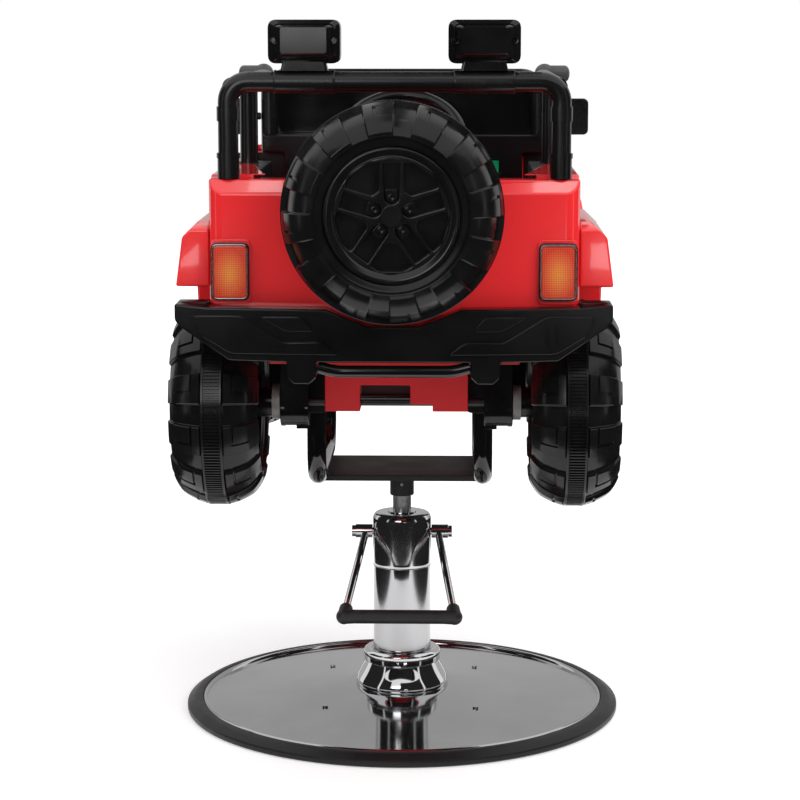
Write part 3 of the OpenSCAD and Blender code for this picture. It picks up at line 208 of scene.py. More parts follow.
def setCards():
    dark = cardFinish("darkCard", cards["dark"])
    grey = cardFinish("greyCard", cards["far"])
    glow = cardFinish("glintCard", cards["glint"])
    for name, start, stop, low, high in cards["walls"] + (cards["farWall"],):
        steps, away = cards["steps"], cards["radius"]
        turns = [math.radians(start + (stop - start) * k / steps) for k in range(steps + 1)]
        corners = [(away * math.sin(t), -away * math.cos(t), z) for z in (low, high) for t in turns]
        faces = [(k, k + 1, steps + k + 2, steps + k + 1) for k in range(steps)]
        card("wall" + name, corners, faces, grey if name == "Far" else dark)
    wide, rear, front, far = (cards[k] for k in ("floorHalfWide", "floorRear", "floorFront", "floorFar"))
    inner = [(-wide, rear), (wide, rear), (wide, front), (-wide, front)]
    outer = [(-far, -far), (far, -far), (far, far), (-far, far)]
    corners = [(x, y, cards["floorHigh"]) for x, y in inner + outer]
    card("floorCard", corners, [(4, 5, 1, 0), (5, 6, 2, 1), (6, 7, 3, 2), (7, 4, 0, 3)], dark)
    card("softbox", cards["softbox"], [(0, 1, 2, 3)], cardFinish("brightCard", cards["bright"]))
    card("ceiling", cards["ceiling"], [(0, 1, 2, 3)], dark)
    for k, corners in enumerate(cards["glints"]):
        card(f"glint{k}", corners, [(0, 1, 2, 3)], glow)


def floorFinish():
    material, tree = freshMaterial("paleFloor")
    out = node(tree, "ShaderNodeOutputMaterial")
    cloth = node(tree, "ShaderNodeBsdfDiffuse")
    cloth.inputs["Color"].default_value = studio["floorColour"]
    # The floor runs to white far from the object
    place = node(tree, "ShaderNodeTexCoord")
    away = node(tree, "ShaderNodeVectorMath", operation="LENGTH")
    link(tree, place.outputs["Object"], away.inputs[0])
    ends = [studio[key] for key in ("nearReach", "farReach", "glowNear", "glowFar")]
    glow = whiteGlow(tree, studio["glowNear"])
    link(tree, mapRange(tree, away.outputs["Value"], *ends), glow.inputs["Strength"])
    both = node(tree, "ShaderNodeAddShader")
    choose = node(tree, "ShaderNodeMixShader")
    paths = node(tree, "ShaderNodeLightPath").outputs
    link(tree, cloth.outputs[0], both.inputs[0])
    link(tree, glow.outputs[0], both.inputs[1])
    link(tree, larger(tree, paths["Is Camera Ray"], paths["Is Glossy Ray"]), choose.inputs[0])
    link(tree, cloth.outputs[0], choose.inputs[1])
    link(tree, both.outputs[0], choose.inputs[2])
    link(tree, choose.outputs[0], out.inputs[0])
    return material


def setStudio():
    half = studio["floorSize"] / 2
    low = -studio["floorDrop"]
    corners = [(-half, -half, low), (half, -half, low), (half, half, low), (-half, half, low)]
    stagePlane("floor", corners, [(0, 1, 2, 3)], floorFinish())
    for name, watts, size, place, target in studio["lamps"]:
        areaLamp(name, watts, size, place, target)
    bpy.context.scene.view_settings.view_transform = "Standard"


setCamera()
setWorld()
setStudio()
setCards()
print("camera and studio ready")


# The middle part of a noise that counts, and how smooth a finish may get
drifting = {"low": 0.3, "high": 0.7, "detail": 5, "fineDetail": 2, "smoothest": 0.01}


def noise(tree, vector, size, detail):
    made = node(tree, "ShaderNodeTexNoise")
    made.inputs["Scale"].default_value = 1000 / size
    made.inputs["Detail"].default_value = detail
    link(tree, vector, made.inputs["Vector"])
    return made.outputs["Fac"]


# Finishes: each has drifting tone, drifting gloss and a fine moulded or cast grain.
def makeFinish(name, colour, rough, metal=0.0, coat=0.0, coatRough=0.04, mottle=0.08, mottleSize=60,
               roughSpread=0.05, grain=0.25, grainSize=1.1, grainDepth=0.08, stretch=(1, 1, 1),
               specular=0.5):
    material = bpy.data.materials.new(name)
    material.use_nodes = True
    tree = material.node_tree
    shader = tree.nodes["Principled BSDF"]
    shader.inputs["Metallic"].default_value = metal
    shader.inputs["Coat Weight"].default_value = coat
    shader.inputs["Coat Roughness"].default_value = coatRough
    shader.inputs["Specular IOR Level"].default_value = specular
    place = node(tree, "ShaderNodeTexCoord")
    stretched = node(tree, "ShaderNodeMapping")
    stretched.inputs["Scale"].default_value = stretch
    link(tree, place.outputs["Object"], stretched.inputs[0])
    drift = noise(tree, stretched.outputs[0], mottleSize, drifting["detail"])
    low, high = drifting["low"], drifting["high"]
    tone = node(tree, "ShaderNodeValToRGB")
    tone.color_ramp.elements[0].position = low
    tone.color_ramp.elements[1].position = high
    tone.color_ramp.elements[0].color = [c * (1 - mottle) for c in colour] + [1]
    tone.color_ramp.elements[1].color = [min(1, c * (1 + mottle)) for c in colour] + [1]
    link(tree, drift, tone.inputs[0])
    link(tree, tone.outputs[0], shader.inputs["Base Color"])
    smoothest = max(drifting["smoothest"], rough - roughSpread)
    link(tree, mapRange(tree, drift, low, high, smoothest, rough + roughSpread), shader.inputs["Roughness"])
    fine = noise(tree, stretched.outputs[0], grainSize, drifting["fineDetail"])
    bump = node(tree, "ShaderNodeBump")
    bump.inputs["Strength"].default_value = grain
    bump.inputs["Distance"].default_value = grainDepth * mm
    link(tree, fine, bump.inputs["Height"])
    link(tree, bump.outputs[0], shader.inputs["Normal"])
    return material


finishes = {
    "redPlastic": dict(colour=(0.80, 0.024, 0.028), rough=0.13, coat=0.6, coatRough=0.03, mottle=0.04,
                       mottleSize=260, roughSpread=0.02, grain=0.05, grainSize=2.2),
    "redFrame": dict(colour=(0.52, 0.010, 0.014), rough=0.35, mottleSize=120, grain=0.2, specular=0.3),
    # The frame's red darkened almost to black: painted shade for the keel's recess
    "frameRedInPaintedShade": dict(colour=(0.035, 0.008, 0.009), rough=0.45, mottle=0.1, grain=0.2, specular=0.3),
    "tyrePlastic": dict(colour=(0.0055, 0.0055, 0.006), rough=0.20, mottle=0.25, mottleSize=34,
                        roughSpread=0.06, grain=0.12, grainSize=1.8, specular=0.36),
    "capPlastic": dict(colour=(0.0045, 0.0045, 0.005), rough=0.16, mottle=0.2, mottleSize=30,
                       roughSpread=0.03, grain=0.06),
    "blackPlastic": dict(colour=(0.0040, 0.0040, 0.0045), rough=0.19, mottle=0.25, mottleSize=50,
                         roughSpread=0.04, grain=0.09, specular=0.42),
    "elbowPlastic": dict(colour=(0.05, 0.05, 0.051), rough=0.4, mottle=0.15, mottleSize=20, grain=0.15),
    "lampPlastic": dict(colour=(0.005, 0.005, 0.0055), rough=0.10, mottle=0.25, mottleSize=40,
                        roughSpread=0.03, grain=0.05),
    "seatPlastic": dict(colour=(0.005, 0.005, 0.0055), rough=0.38, mottle=0.25, mottleSize=60,
                        roughSpread=0.06, grain=0.3, grainSize=1.4, specular=0.35),
    "blackSatin": dict(colour=(0.006, 0.006, 0.0065), rough=0.24, mottle=0.2, mottleSize=70, grain=0.06),
    "blackPaint": dict(colour=(0.004, 0.004, 0.0045), rough=0.12, coat=0.3, mottle=0.2, grain=0.03),
    "mattPaint": dict(colour=(0.019, 0.019, 0.0195), rough=0.55, mottle=0.12, mottleSize=40, grain=0.2,
                      specular=0.3),
    "chrome": dict(colour=(0.66, 0.66, 0.67), rough=0.05, metal=1.0, mottle=0.06, mottleSize=40,
                   roughSpread=0.015, grain=0.03, grainSize=3.0),
    "headChrome": dict(colour=(0.56, 0.56, 0.57), rough=0.09, metal=1.0, mottle=0.08, mottleSize=30,
                       roughSpread=0.03, grain=0.08, grainSize=2.6),
    "polishedTube": dict(colour=(0.50, 0.50, 0.51), rough=0.10, metal=1.0, mottle=0.05, mottleSize=40,
                         roughSpread=0.03, grain=0.05, stretch=(1, 1, 0.08)),
    "satinSteel": dict(colour=(0.28, 0.28, 0.285), rough=0.13, metal=1.0, mottle=0.08, mottleSize=90,
                       roughSpread=0.03, grain=0.22, grainSize=1.3),
    "dishChrome": dict(colour=(0.47, 0.47, 0.475), rough=0.075, metal=1.0, mottle=0.06, mottleSize=90,
                       roughSpread=0.02, grain=0.14, grainSize=1.3),
    "ramSteel": dict(colour=(0.46, 0.46, 0.465), rough=0.28, metal=0.75, mottleSize=20, grain=0.1),
    "rubber": dict(colour=(0.006, 0.006, 0.0065), specular=0.35, rough=0.42, mottle=0.25, mottleSize=18,
                   grain=0.6, grainSize=1.4, grainDepth=0.15),
    "gripRubber": dict(colour=(0.016, 0.016, 0.017), rough=0.50, mottle=0.25, mottleSize=14, grain=0.5,
                       grainSize=1.2, grainDepth=0.12),
    "castIron": dict(colour=(0.06, 0.06, 0.062), rough=0.6, metal=0.6, mottle=0.3, grain=0.8, grainSize=2.4),
    "zinc": dict(colour=(0.46, 0.46, 0.45), rough=0.32, metal=1.0, mottle=0.12, mottleSize=8, grain=0.3),
    "greenPlastic": dict(colour=(0.004, 0.26, 0.10), rough=0.3, mottle=0.06, grain=0.2),
    "silverTrim": dict(colour=(0.42, 0.40, 0.41), rough=0.2, metal=1.0, mottle=0.08, grain=0.1),
    "smokedScreen": dict(colour=(0.004, 0.004, 0.0045), rough=0.08, coat=0.2, mottle=0.2, grain=0.03),
    "clearLens": dict(colour=(0.62, 0.63, 0.64), rough=0.08, coat=0.6, mottleSize=10, grain=0.05),
}
materials = {name: makeFinish(name, **values) for name, values in finishes.items()}
print("finishes:", len(materials))


# Mesh tools
def addPiece(name, mesh, finish, body, replaced=(), toMetres=True, sharpAbove=34, flats=False):
    if toMetres:
        mesh.transform(Matrix.Scale(mm, 4))
    mesh.name = name
    mesh.materials.clear()
    mesh.materials.append(materials[finish] if isinstance(finish, str) else finish)
    mesh.shade_smooth()
    mesh.set_sharp_from_angle(angle=math.radians(sharpAbove))
    obj = bpy.data.objects.new(name, mesh)
    bpy.context.collection.objects.link(obj)
    if flats:  # wide flat faces stay flat beside their rolled edges
        weighted = obj.modifiers.new("flatFaces", "WEIGHTED_NORMAL")
        weighted.keep_sharp = True
        weighted.weight = 80
    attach(obj, body)
    if replaced:
        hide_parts(*replaced)


def meshFrom(points, faces):
    mesh = bpy.data.meshes.new("shape")
    mesh.from_pydata(points, [], faces)
    shape = bmesh.new()
    shape.from_mesh(mesh)
    bmesh.ops.recalc_face_normals(shape, faces=shape.faces)
    shape.to_mesh(mesh)
    shape.free()
    return mesh


# Quads between rings of points that follow each other
def ringFaces(rings, count, closed=False):
    pairs = [(i, (i + 1) % rings) for i in range(rings if closed else rings - 1)]
    return [(i * count + k, i * count + (k + 1) % count, n * count + (k + 1) % count, n * count + k)
            for i, n in pairs for k in range(count)]


def joined(parts):
    shape = bmesh.new()
    for mesh, matrix in parts:
        placed = mesh.copy()
        placed.transform(matrix)
        if matrix.determinant() < 0:
            placed.flip_normals()
        shape.from_mesh(placed)
        bpy.data.meshes.remove(placed)
    result = bpy.data.meshes.new("shape")
    shape.to_mesh(result)
    shape.free()
    return result


def at(x, y, z):
    return Matrix.Translation((x, y, z))


# Facings: a flat shape drawn in X and Y, thick along Z, set so that its Z points that way.
facing = {
    "rear": Matrix(((1, 0, 0, 0), (0, 0, -1, 0), (0, 1, 0, 0), (0, 0, 0, 1))),
    "front": Matrix(((-1, 0, 0, 0), (0, 0, 1, 0), (0, 1, 0, 0), (0, 0, 0, 1))),
    "right": Matrix(((0, 0, 1, 0), (1, 0, 0, 0), (0, 1, 0, 0), (0, 0, 0, 1))),
    "left": Matrix(((0, 0, -1, 0), (-1, 0, 0, 0), (0, 1, 0, 0), (0, 0, 0, 1))),
}


# Corners of a path turned into soft bends
def rounded(points, radius, steps=4, closed=True):
    made = []
    count = len(points)
    for i, corner in enumerate(points):
        here = Vector(corner)
        if not closed and i in (0, count - 1):
            made.append(tuple(here))
            continue
        before = Vector(points[i - 1]) - here
        after = Vector(points[(i + 1) % count]) - here
        reach = min(radius, before.length / 2.001, after.length / 2.001)
        start = here + before.normalized() * reach
        end = here + after.normalized() * reach
        for k in range(steps + 1):
            t = k / steps
            made.append(tuple(start * (1 - t) ** 2 + here * 2 * t * (1 - t) + end * t ** 2))
    return made


# Profile of (radius, height) turned about Z
def lathe(profile, steps=96, closed=True):
    points, rings, faces = [], [], []
    for radius, height in profile:
        if radius < 1e-6:
            rings.append([len(points)] * steps)
            points.append((0, 0, height))
            continue
        rings.append(range(len(points), len(points) + steps))
        for k in range(steps):
            angle = 2 * math.pi * k / steps
            points.append((radius * math.cos(angle), radius * math.sin(angle), height))
    pairs = list(zip(rings, rings[1:])) + ([(rings[-1], rings[0])] if closed else [])
    for low, high in pairs:
        for k in range(steps):
            n = (k + 1) % steps
            face = [low[k], low[n], high[n], high[k]]
            face = [v for i, v in enumerate(face) if v != face[i - 1]]
            if len(face) > 2:
                faces.append(face)
    return meshFrom(points, faces)


# Round bar along a path, its ends closed
def tube(path, radius, sides):
    spots = [Vector(p) for p in path]
    count = len(spots)
    points = []
    side = None
    for i, spot in enumerate(spots):
        ahead = spots[i + 1] if i < count - 1 else spot
        behind = spots[i - 1] if i > 0 else spot
        way = (ahead - behind).normalized()
        if side is None:
            side = way.orthogonal().normalized()
        side = (side - way * side.dot(way)).normalized()
        other = way.cross(side)
        r = radius[i] if isinstance(radius, (list, tuple)) else radius
        for k in range(sides):
            angle = 2 * math.pi * k / sides
            points.append(tuple(spot + side * (r * math.cos(angle)) + other * (r * math.sin(angle))))
    ends = [tuple(range(sides)), tuple(range((count - 1) * sides, count * sides))]
    return meshFrom(points, ringFaces(count, sides) + ends)


# A loop's points moved to its left, that is into the material
def moved(loop, amount):
    made = []
    for i, spot in enumerate(loop):
        here = Vector(spot)
        before = (here - Vector(loop[i - 1])).normalized()
        after = (Vector(loop[(i + 1) % len(loop)]) - here).normalized()
        way = Vector((-before.y - after.y, before.x + after.x))
        made.append(here + way * (amount / max(0.4, way.length_squared / 2)))
    return made


def turnedLoop(loop, way):
    spots = list(loop)
    area = sum(a[0] * b[1] - b[0] * a[1] for a, b in zip(spots, spots[1:] + spots[:1]))
    return spots if area * way > 0 else spots[::-1]


# Flat shape from Z = 0 to its thickness, its upper edges rolled over
def plate(outline, thick, bevel, holes=()):
    steps = 3  # facets of a rolled edge
    loops = [turnedLoop(outline, 1)] + [turnedLoop(hole, -1) for hole in holes]
    turns = [math.pi / 2 * k / steps for k in range(steps + 1)]
    levels = [(bevel * (1 - math.sin(t)), thick - bevel * (1 - math.cos(t))) for t in turns] + [(0, 0)]
    points, faces = [], []
    for loop in loops:
        count = len(loop)
        for i, (inset, height) in enumerate(levels):
            start = len(points)
            points += [(p.x, p.y, height) for p in moved(loop, inset)]
            if i:
                faces += [tuple(start - count + v for v in (count + k, count + n, n, k))
                          for k, n in enumerate([*range(1, count), 0])]
    for level in (0, len(levels) - 1):
        inset, height = levels[level]
        if not holes:
            faces.append(tuple(range(level * len(loops[0]), (level + 1) * len(loops[0]))))
            continue
        spots, rims = [], []
        for loop in loops:
            rims.append(range(len(spots), len(spots) + len(loop)))
            spots += moved(loop, inset)
        flat, _, cells, *_ = delaunay_2d_cdt(spots, [], [list(r) for r in rims], 2, 1e-5)
        start = len(points)
        points += [(p.x, p.y, height) for p in flat]
        faces += [tuple(start + v for v in cell) for cell in cells]
    mesh = bpy.data.meshes.new("shape")
    mesh.from_pydata(points, [], faces)
    shape = bmesh.new()
    shape.from_mesh(mesh)
    bmesh.ops.remove_doubles(shape, verts=shape.verts, dist=0.0005)
    bmesh.ops.recalc_face_normals(shape, faces=shape.faces)
    shape.to_mesh(mesh)
    shape.free()
    return mesh


def roundedBox(wide, high, corner):
    w, h = wide / 2, high / 2
    return rounded([(-w, -h), (w, -h), (w, h), (-w, h)], corner, 5)


# Box between two corners with soft edges
def block(low, high, bevel):
    shape = bmesh.new()
    bmesh.ops.create_cube(shape, size=1)
    size = Vector(high) - Vector(low)
    middle = (Vector(high) + Vector(low)) / 2
    bmesh.ops.scale(shape, vec=size, verts=shape.verts)
    bmesh.ops.translate(shape, vec=middle, verts=shape.verts)
    bmesh.ops.bevel(shape, geom=shape.edges[:], offset=bevel, segments=2, profile=0.5, affect="EDGES")
    mesh = bpy.data.meshes.new("shape")
    shape.to_mesh(mesh)
    shape.free()
    return mesh


# Rounded rectangles joined along Z: depth, half width, half height, corner, and a shift along Y
def loft(sections):
    points = []
    for depth, halfWide, halfHigh, corner, shift in sections:
        loop = roundedBox(2 * halfWide, 2 * halfHigh, corner)
        points += [(x, y + shift, depth) for x, y in loop]
    count = len(loop)
    ends = [tuple(range(count)), tuple(range(len(points) - count, len(points)))]
    return meshFrom(points, ringFaces(len(sections), count) + ends)


# How a CAD copy is cleaned before its edges are rolled: metres, then degrees
rolling = {"weld": 2e-6, "flatWithin": 0.8, "sharpFrom": 30, "keptSharp": 50}


# Copy of a CAD node with its sharp edges rolled over; it stands for the node
def softened(nodeName, pieceName, finish, width, segments=3):
    mesh = frame["nodes"][nodeName].data.copy()
    shape = bmesh.new()
    shape.from_mesh(mesh)
    bmesh.ops.remove_doubles(shape, verts=shape.verts, dist=rolling["weld"])
    flat, sharp = math.radians(rolling["flatWithin"]), math.radians(rolling["sharpFrom"])
    bmesh.ops.dissolve_limit(shape, angle_limit=flat, verts=shape.verts, edges=shape.edges)
    picked = [e for e in shape.edges if len(e.link_faces) == 2 and e.calc_face_angle() > sharp]
    bmesh.ops.bevel(shape, geom=picked, offset=width * mm, segments=segments, profile=0.5,
                    affect="EDGES", clamp_overlap=False, miter_outer="ARC", miter_inner="SHARP")
    shape.to_mesh(mesh)
    shape.free()
    addPiece(pieceName, mesh, finish, bodyOf[nodeName], [nodeName], toMetres=False,
             sharpAbove=rolling["keptSharp"], flats=True)


# CAD nodes that keep their own shape, each with its finish
def dress(finishOf):
    for nodeName, finish in finishOf.items():
        obj = frame["nodes"][nodeName]
        obj.data.materials.clear()
        obj.data.materials.append(materials[finish] if isinstance(finish, str) else finish)


# Round base
base = {
    "radius": 300, "rubberWide": 25, "rubberHigh": 17, "rubberUnder": 12, "dishRim": 12, "dishMiddle": 30,
    "dishMiddleRadius": 75, "dishThick": 4, "dishFall": 1.2, "dishSteps": 40, "bead": 3.2, "lipRise": 0.3,
    "bellFoot": 64, "bellTop": 50, "bellLow": 30, "bellHigh": 64, "bellBelly": 3.2, "bellSteps": 24,
    "ringRadius": 53, "ringHigh": 18, "tubeRadius": 39.5, "tubeGap": 0.3,
}


def dishHeight(radius):
    rim = base["radius"] - base["rubberWide"]
    s = min(1, max(0, (radius - base["dishMiddleRadius"]) / (rim - base["dishMiddleRadius"])))
    return base["dishRim"] + (base["dishMiddle"] - base["dishRim"]) * (1 - s) ** base["dishFall"]


def buildBase():
    outer, rim = base["radius"], base["radius"] - base["rubberWide"]
    edgeHigh, dishRim = base["rubberHigh"], base["dishRim"]
    bore = base["tubeRadius"] + base["tubeGap"]
    flat, steps = base["dishMiddleRadius"], base["dishSteps"]
    tops = [(r, dishHeight(r)) for r in [bore] + [flat + (rim - flat) * i / steps for i in range(steps)]]
    # Rolled lip against the rubber
    lip, high = base["bead"], edgeHigh + base["lipRise"]
    bead = [(rim - lip, dishRim + 0.8), (rim - lip * 0.8, high - 2), (rim - lip * 0.4, high - 0.5),
            (rim, high), (rim + lip * 0.4, high - 0.5), (rim + lip * 0.8, high - 2),
            (rim + lip * 0.8, dishRim)]
    lows = [(rim, dishRim - base["dishThick"]), (bore, base["dishMiddle"] - base["dishThick"])]
    dish = lathe(tops + bead + lows, steps=192)
    addPiece("dish", dish, "dishChrome", "base", ["base_dish"], sharpAbove=40)
    inside = rim - base["rubberUnder"]
    edge = rounded([(inside, 0.2), (outer - 2, 0.2), (outer, 2), (outer, edgeHigh * 0.5),
                    (rim + 14.5, edgeHigh - 1.6), (rim + 11, edgeHigh - 0.6), (rim + 4.6, edgeHigh),
                    (rim + 2.6, edgeHigh - 1.8), (rim + 2.4, 8), (inside, 7.5)], 1.6, 3)
    rubberEdge = lathe(edge, steps=192)
    addPiece("rubberEdge", rubberEdge, "rubber", "base", ["rubber_edge"], sharpAbove=50)
    # Bell with a soft belly, and the turned ring above it
    foot, top, low, high = (base[k] for k in ("bellFoot", "bellTop", "bellLow", "bellHigh"))
    bell = []
    for i in range(base["bellSteps"] + 1):
        t = i / base["bellSteps"]
        swell = math.sin(math.pi * (t ** 0.8)) * base["bellBelly"]
        bell.append((foot + (top - foot) * t ** 1.25 + swell * (1 - t), low + (high - low) * t))
    bell += [(bore, high), (bore, high - 2), (48, high - 2.4), (60, low)]
    addPiece("bell", lathe(bell, steps=128), "chrome", "base", ["bell_cover"], sharpAbove=50)
    reach, low, top = base["ringRadius"], base["bellHigh"], base["bellHigh"] + base["ringHigh"]
    ring = rounded([(bore, low + 0.2), (reach, low + 0.2), (reach, top - 4), (reach - 4, top),
                    (43, top - 0.4), (41.4, top - 4), (bore, top - 4.4)], 1.8, 4)
    collar = lathe(ring, steps=128)
    addPiece("ringCollar", collar, "chrome", "base", ["ring_collar"], sharpAbove=50)


buildBase()
dress({
    "ballast_ring": "castIron", "base_bolts": "dishChrome", "pump_flange": "blackPaint",
    "pump_tube": "polishedTube", "gland_bush": "headChrome", "inner_cylinder": "satinSteel",
    "pump_plunger": "polishedTube", "pedal_frame": "chrome", "pedal_shafts": "chrome",
    "ram": "ramSteel", "piston_head": "castIron",
})
print("base and pump")

# Pump head: a cap with a rolled shoulder and a thin seam ring at its foot
head = {"radius": 40, "inner": 35.5, "low": 199, "high": 274, "bush": 18, "bushGap": 0.2, "bushDeep": 12,
        "shoulder": 7, "seam": 0.8}


def buildHead():
    r, inner, low, high = head["radius"], head["inner"], head["low"], head["high"]
    seam, bore, ledge = low + head["seam"], head["bush"] + head["bushGap"], high - head["bushDeep"]
    profile = rounded([(inner, low), (r, low), (r, seam), (r - 0.5, seam + 0.5), (r - 0.1, low + 4),
                       (r, high - head["shoulder"]), (r - 2.5, high - 1.6), (r - 8, high), (bore, high),
                       (bore, ledge), (inner, ledge)], 2.2, 5)
    pumpHead = lathe(profile, steps=128)
    addPiece("pumpHead", pumpHead, "headChrome", "base", ["pump_head"], sharpAbove=50)


buildHead()

# Rubber grip over the pedal's crossbar, with swollen corners and short sockets up the arms
grip = {"radius": 10, "corner": 10.5, "socket": 19, "armDrop": 27, "armLong": 180, "pivot": 246, "rootX": 50,
        "barHalf": 73.5, "barSteps": 56, "swell": 0.8, "swellLong": 14, "ribs": 0.12,
        "sleeve": (0, 8, 14, 17.5), "sleeveRadii": (9.2, 9.2, 9.0, 8.8, 8.0, 6.0)}


def buildGrip():
    drop = math.radians(grip["armDrop"])
    bar = Vector((0, -grip["armLong"] * math.cos(drop), grip["pivot"] - grip["armLong"] * math.sin(drop)))
    half = grip["barHalf"]
    root = Vector((grip["rootX"], 0, grip["pivot"]))
    corner = Vector((half, bar.y, bar.z))
    up = (root - corner).normalized()
    path, sizes = [], []
    count, swell, swellLong = grip["barSteps"], grip["swell"], grip["swellLong"]
    for i in range(count + 1):
        t = i / count
        x = half * (2 * t - 1)
        path.append((x, bar.y, bar.z))
        nearEnd = max(0, (abs(x) - half + swellLong) / swellLong)
        sizes.append(grip["radius"] - swell + swell * nearEnd + grip["ribs"] * (i % 2))
    crossbar = tube(path, sizes, 32)
    ball = bmesh.new()
    bmesh.ops.create_uvsphere(ball, u_segments=32, v_segments=16, radius=grip["corner"])
    ballMesh = bpy.data.meshes.new("ball")
    ball.to_mesh(ballMesh)
    ball.free()
    parts = [(crossbar, Matrix())]
    for side in (-1, 1):
        flip = Matrix.Scale(side, 4, (1, 0, 0))
        parts.append((ballMesh, flip @ at(*corner)))
        along = [tuple(corner + up * d) for d in grip["sleeve"] + (grip["socket"], grip["socket"])]
        parts.append((tube(along, grip["sleeveRadii"], 28), flip))
    addPiece("pedalGrip", joined(parts), "gripRubber", "pedal", ["pedal_grip"], sharpAbove=60)


buildGrip()
print("pump head and pedal")

# Seat frame
softened("swivel_plate", "crossPlate", "mattPaint", 1.2)
dress({"support_loop_left": "blackPaint", "support_loop_right": "blackPaint", "frame_bolts": "zinc"})

# Wheels
tyre = {
    "lugs": 12, "roadTurn": 14, "spareTurn": 7.5, "lugHalf": 8.6, "lugHigh": 5.5,
    "wide": 56, "sideWide": 53.6,
    "crown": ((0, 129), (13, 128.2), (24, 124.8), (36, 119), (44, 113.5), (51, 104), (56, 94)),
    "grooveFrom": 1.5, "grooveTo": 2.7, "grooveIn": 24.0, "grooveOut": 25.8, "grooveLeft": 0.6,
    "sinkLess": 2.4, "sinkFrom": 46, "sinkLong": 10,
    "hub": 19, "bore": 5.2, "rimOpen": 79, "rimSeat": 36, "hubBack": 65,
    "roadX": 220, "axleY": 300, "axleZ": 476, "spareY": -494, "spareZ": 728,
}


# Radius of the lugs' tops at a distance from the wheel's middle
def crownAt(a):
    table = tyre["crown"]
    for i in range(len(table) - 1):
        (x0, y0), (x1, y1) = table[i], table[i + 1]
        if a <= x1:
            t = (a - x0) / (x1 - x0)
            xa, ya = table[max(0, i - 1)]
            xb, yb = table[min(len(table) - 1, i + 2)]
            m0 = (y1 - ya) / (x1 - xa) * (x1 - x0)
            m1 = (yb - y0) / (xb - x0) * (x1 - x0)
            return ((2 * t ** 3 - 3 * t ** 2 + 1) * y0 + (t ** 3 - 2 * t ** 2 + t) * m0
                    + (-2 * t ** 3 + 3 * t ** 2) * y1 + (t ** 3 - t ** 2) * m1)
    return table[-1][1]


# One period round the tyre: angle from the lug's middle, height share, whether the groove runs there
def lugColumns():
    half = tyre["lugHalf"]
    g0, g1 = tyre["grooveFrom"], tyre["grooveTo"]
    return [(-15, 0, False), (-12, 0, False), (-half - 0.6, 0, False), (-half - 0.25, 0.1, False),
            (-half + 0.1, 0.86, False), (-half + 0.5, 1, False), (-4, 1, False), (-1, 1, False),
            (g0 - 0.3, 1, False), (g0, 1, True), (g1, 1, True), (g1 + 0.3, 1, False),
            (5, 1, False), (half - 0.5, 1, False), (half - 0.1, 0.86, False), (half + 0.25, 0.1, False),
            (half + 0.6, 0, False), (12, 0, False)]


# Half of the tread, from its middle outwards: distance, height share, whether the groove turns there
def tyreRows():
    gi, go = tyre["grooveIn"], tyre["grooveOut"]
    return [(13.4, 0, 0), (13.7, 0.16, 0), (14.0, 0.84, 0), (14.8, 1, 0), (18.5, 1, 0), (gi - 0.5, 1, 0),
            (gi, 1, 1), (go, 1, 1), (go + 0.5, 1, 2), (31, 1, 2), (35, 1, 2), (39, 1, 2), (42.5, 1, 2),
            (44, 1, 3), (45.5, 1, 3), (48.5, 1, 3), (51, 1, 3), (53.2, 1, 3), (55.0, 1, 3), (55.6, 0.9, 3),
            (55.9, 0.4, 3), (56, 0.05, 3)]


def tyreMesh(turn, hubBack, place):
    wide, sideWide, pitch = tyre["wide"], tyre["sideWide"], 360 / tyre["lugs"]
    columns = [(c[0] + pitch * k + turn, c[1], c[0], c[2])
               for k in range(tyre["lugs"]) for c in lugColumns()]
    half = []
    for a, share, zone in tyreRows():
        top = crownAt(a)
        sink = tyre["lugHigh"] - tyre["sinkLess"] * max(0, (a - tyre["sinkFrom"]) / tyre["sinkLong"])
        half.append((a * sideWide / wide, top - sink, a, top, share, zone))
    # Plain rings: distance from the wheel's middle, and radius
    hub, bore, rim, seat = (tyre[k] for k in ("hub", "bore", "rimOpen", "rimSeat"))
    shoulder = [(52.6, 90.6), (52.0, 89.2), (50.6, 88.4), (48.6, 87.2), (47.4, 85), (46.6, 82), (45, rim)]
    outside = shoulder + [(seat, rim), (seat, bore)]
    inside = [(-hubBack, bore), (-hubBack, hub), (-30, hub), (-28, hub + 3), (-28, rim - 4), (-31, rim)]
    inside += [(-a, r) for a, r in reversed(shoulder)]
    mirrored = [(-r[0], r[1], -r[2], *r[3:]) for r in reversed(half)]
    rows = inside + mirrored + [(-11, 122), (11, 122)] + half + outside
    points = []
    for row in rows:
        for angle, height, offset, groove in columns:
            if len(row) == 2:
                a, r = row
            else:
                aLow, rLow, aTop, rTop, share, zone = row
                rise = height * share
                inGroove = (groove and zone == 2) or (zone == 1 and offset < tyre["grooveTo"] + 0.1)
                if inGroove:
                    rise = min(rise, tyre["grooveLeft"])
                a, r = aLow + (aTop - aLow) * rise, rLow + (rTop - rLow) * rise
            spin = math.radians(angle)
            points.append(place(a, r * math.cos(spin), r * math.sin(spin)))
    return meshFrom(points, ringFaces(len(rows), len(columns), True))


band = {"ribs": 190, "half": 12.8, "rail": 3.4, "radius": 128.9, "ribLow": 126.4, "ribHigh": 128.5,
        "foot": 121}


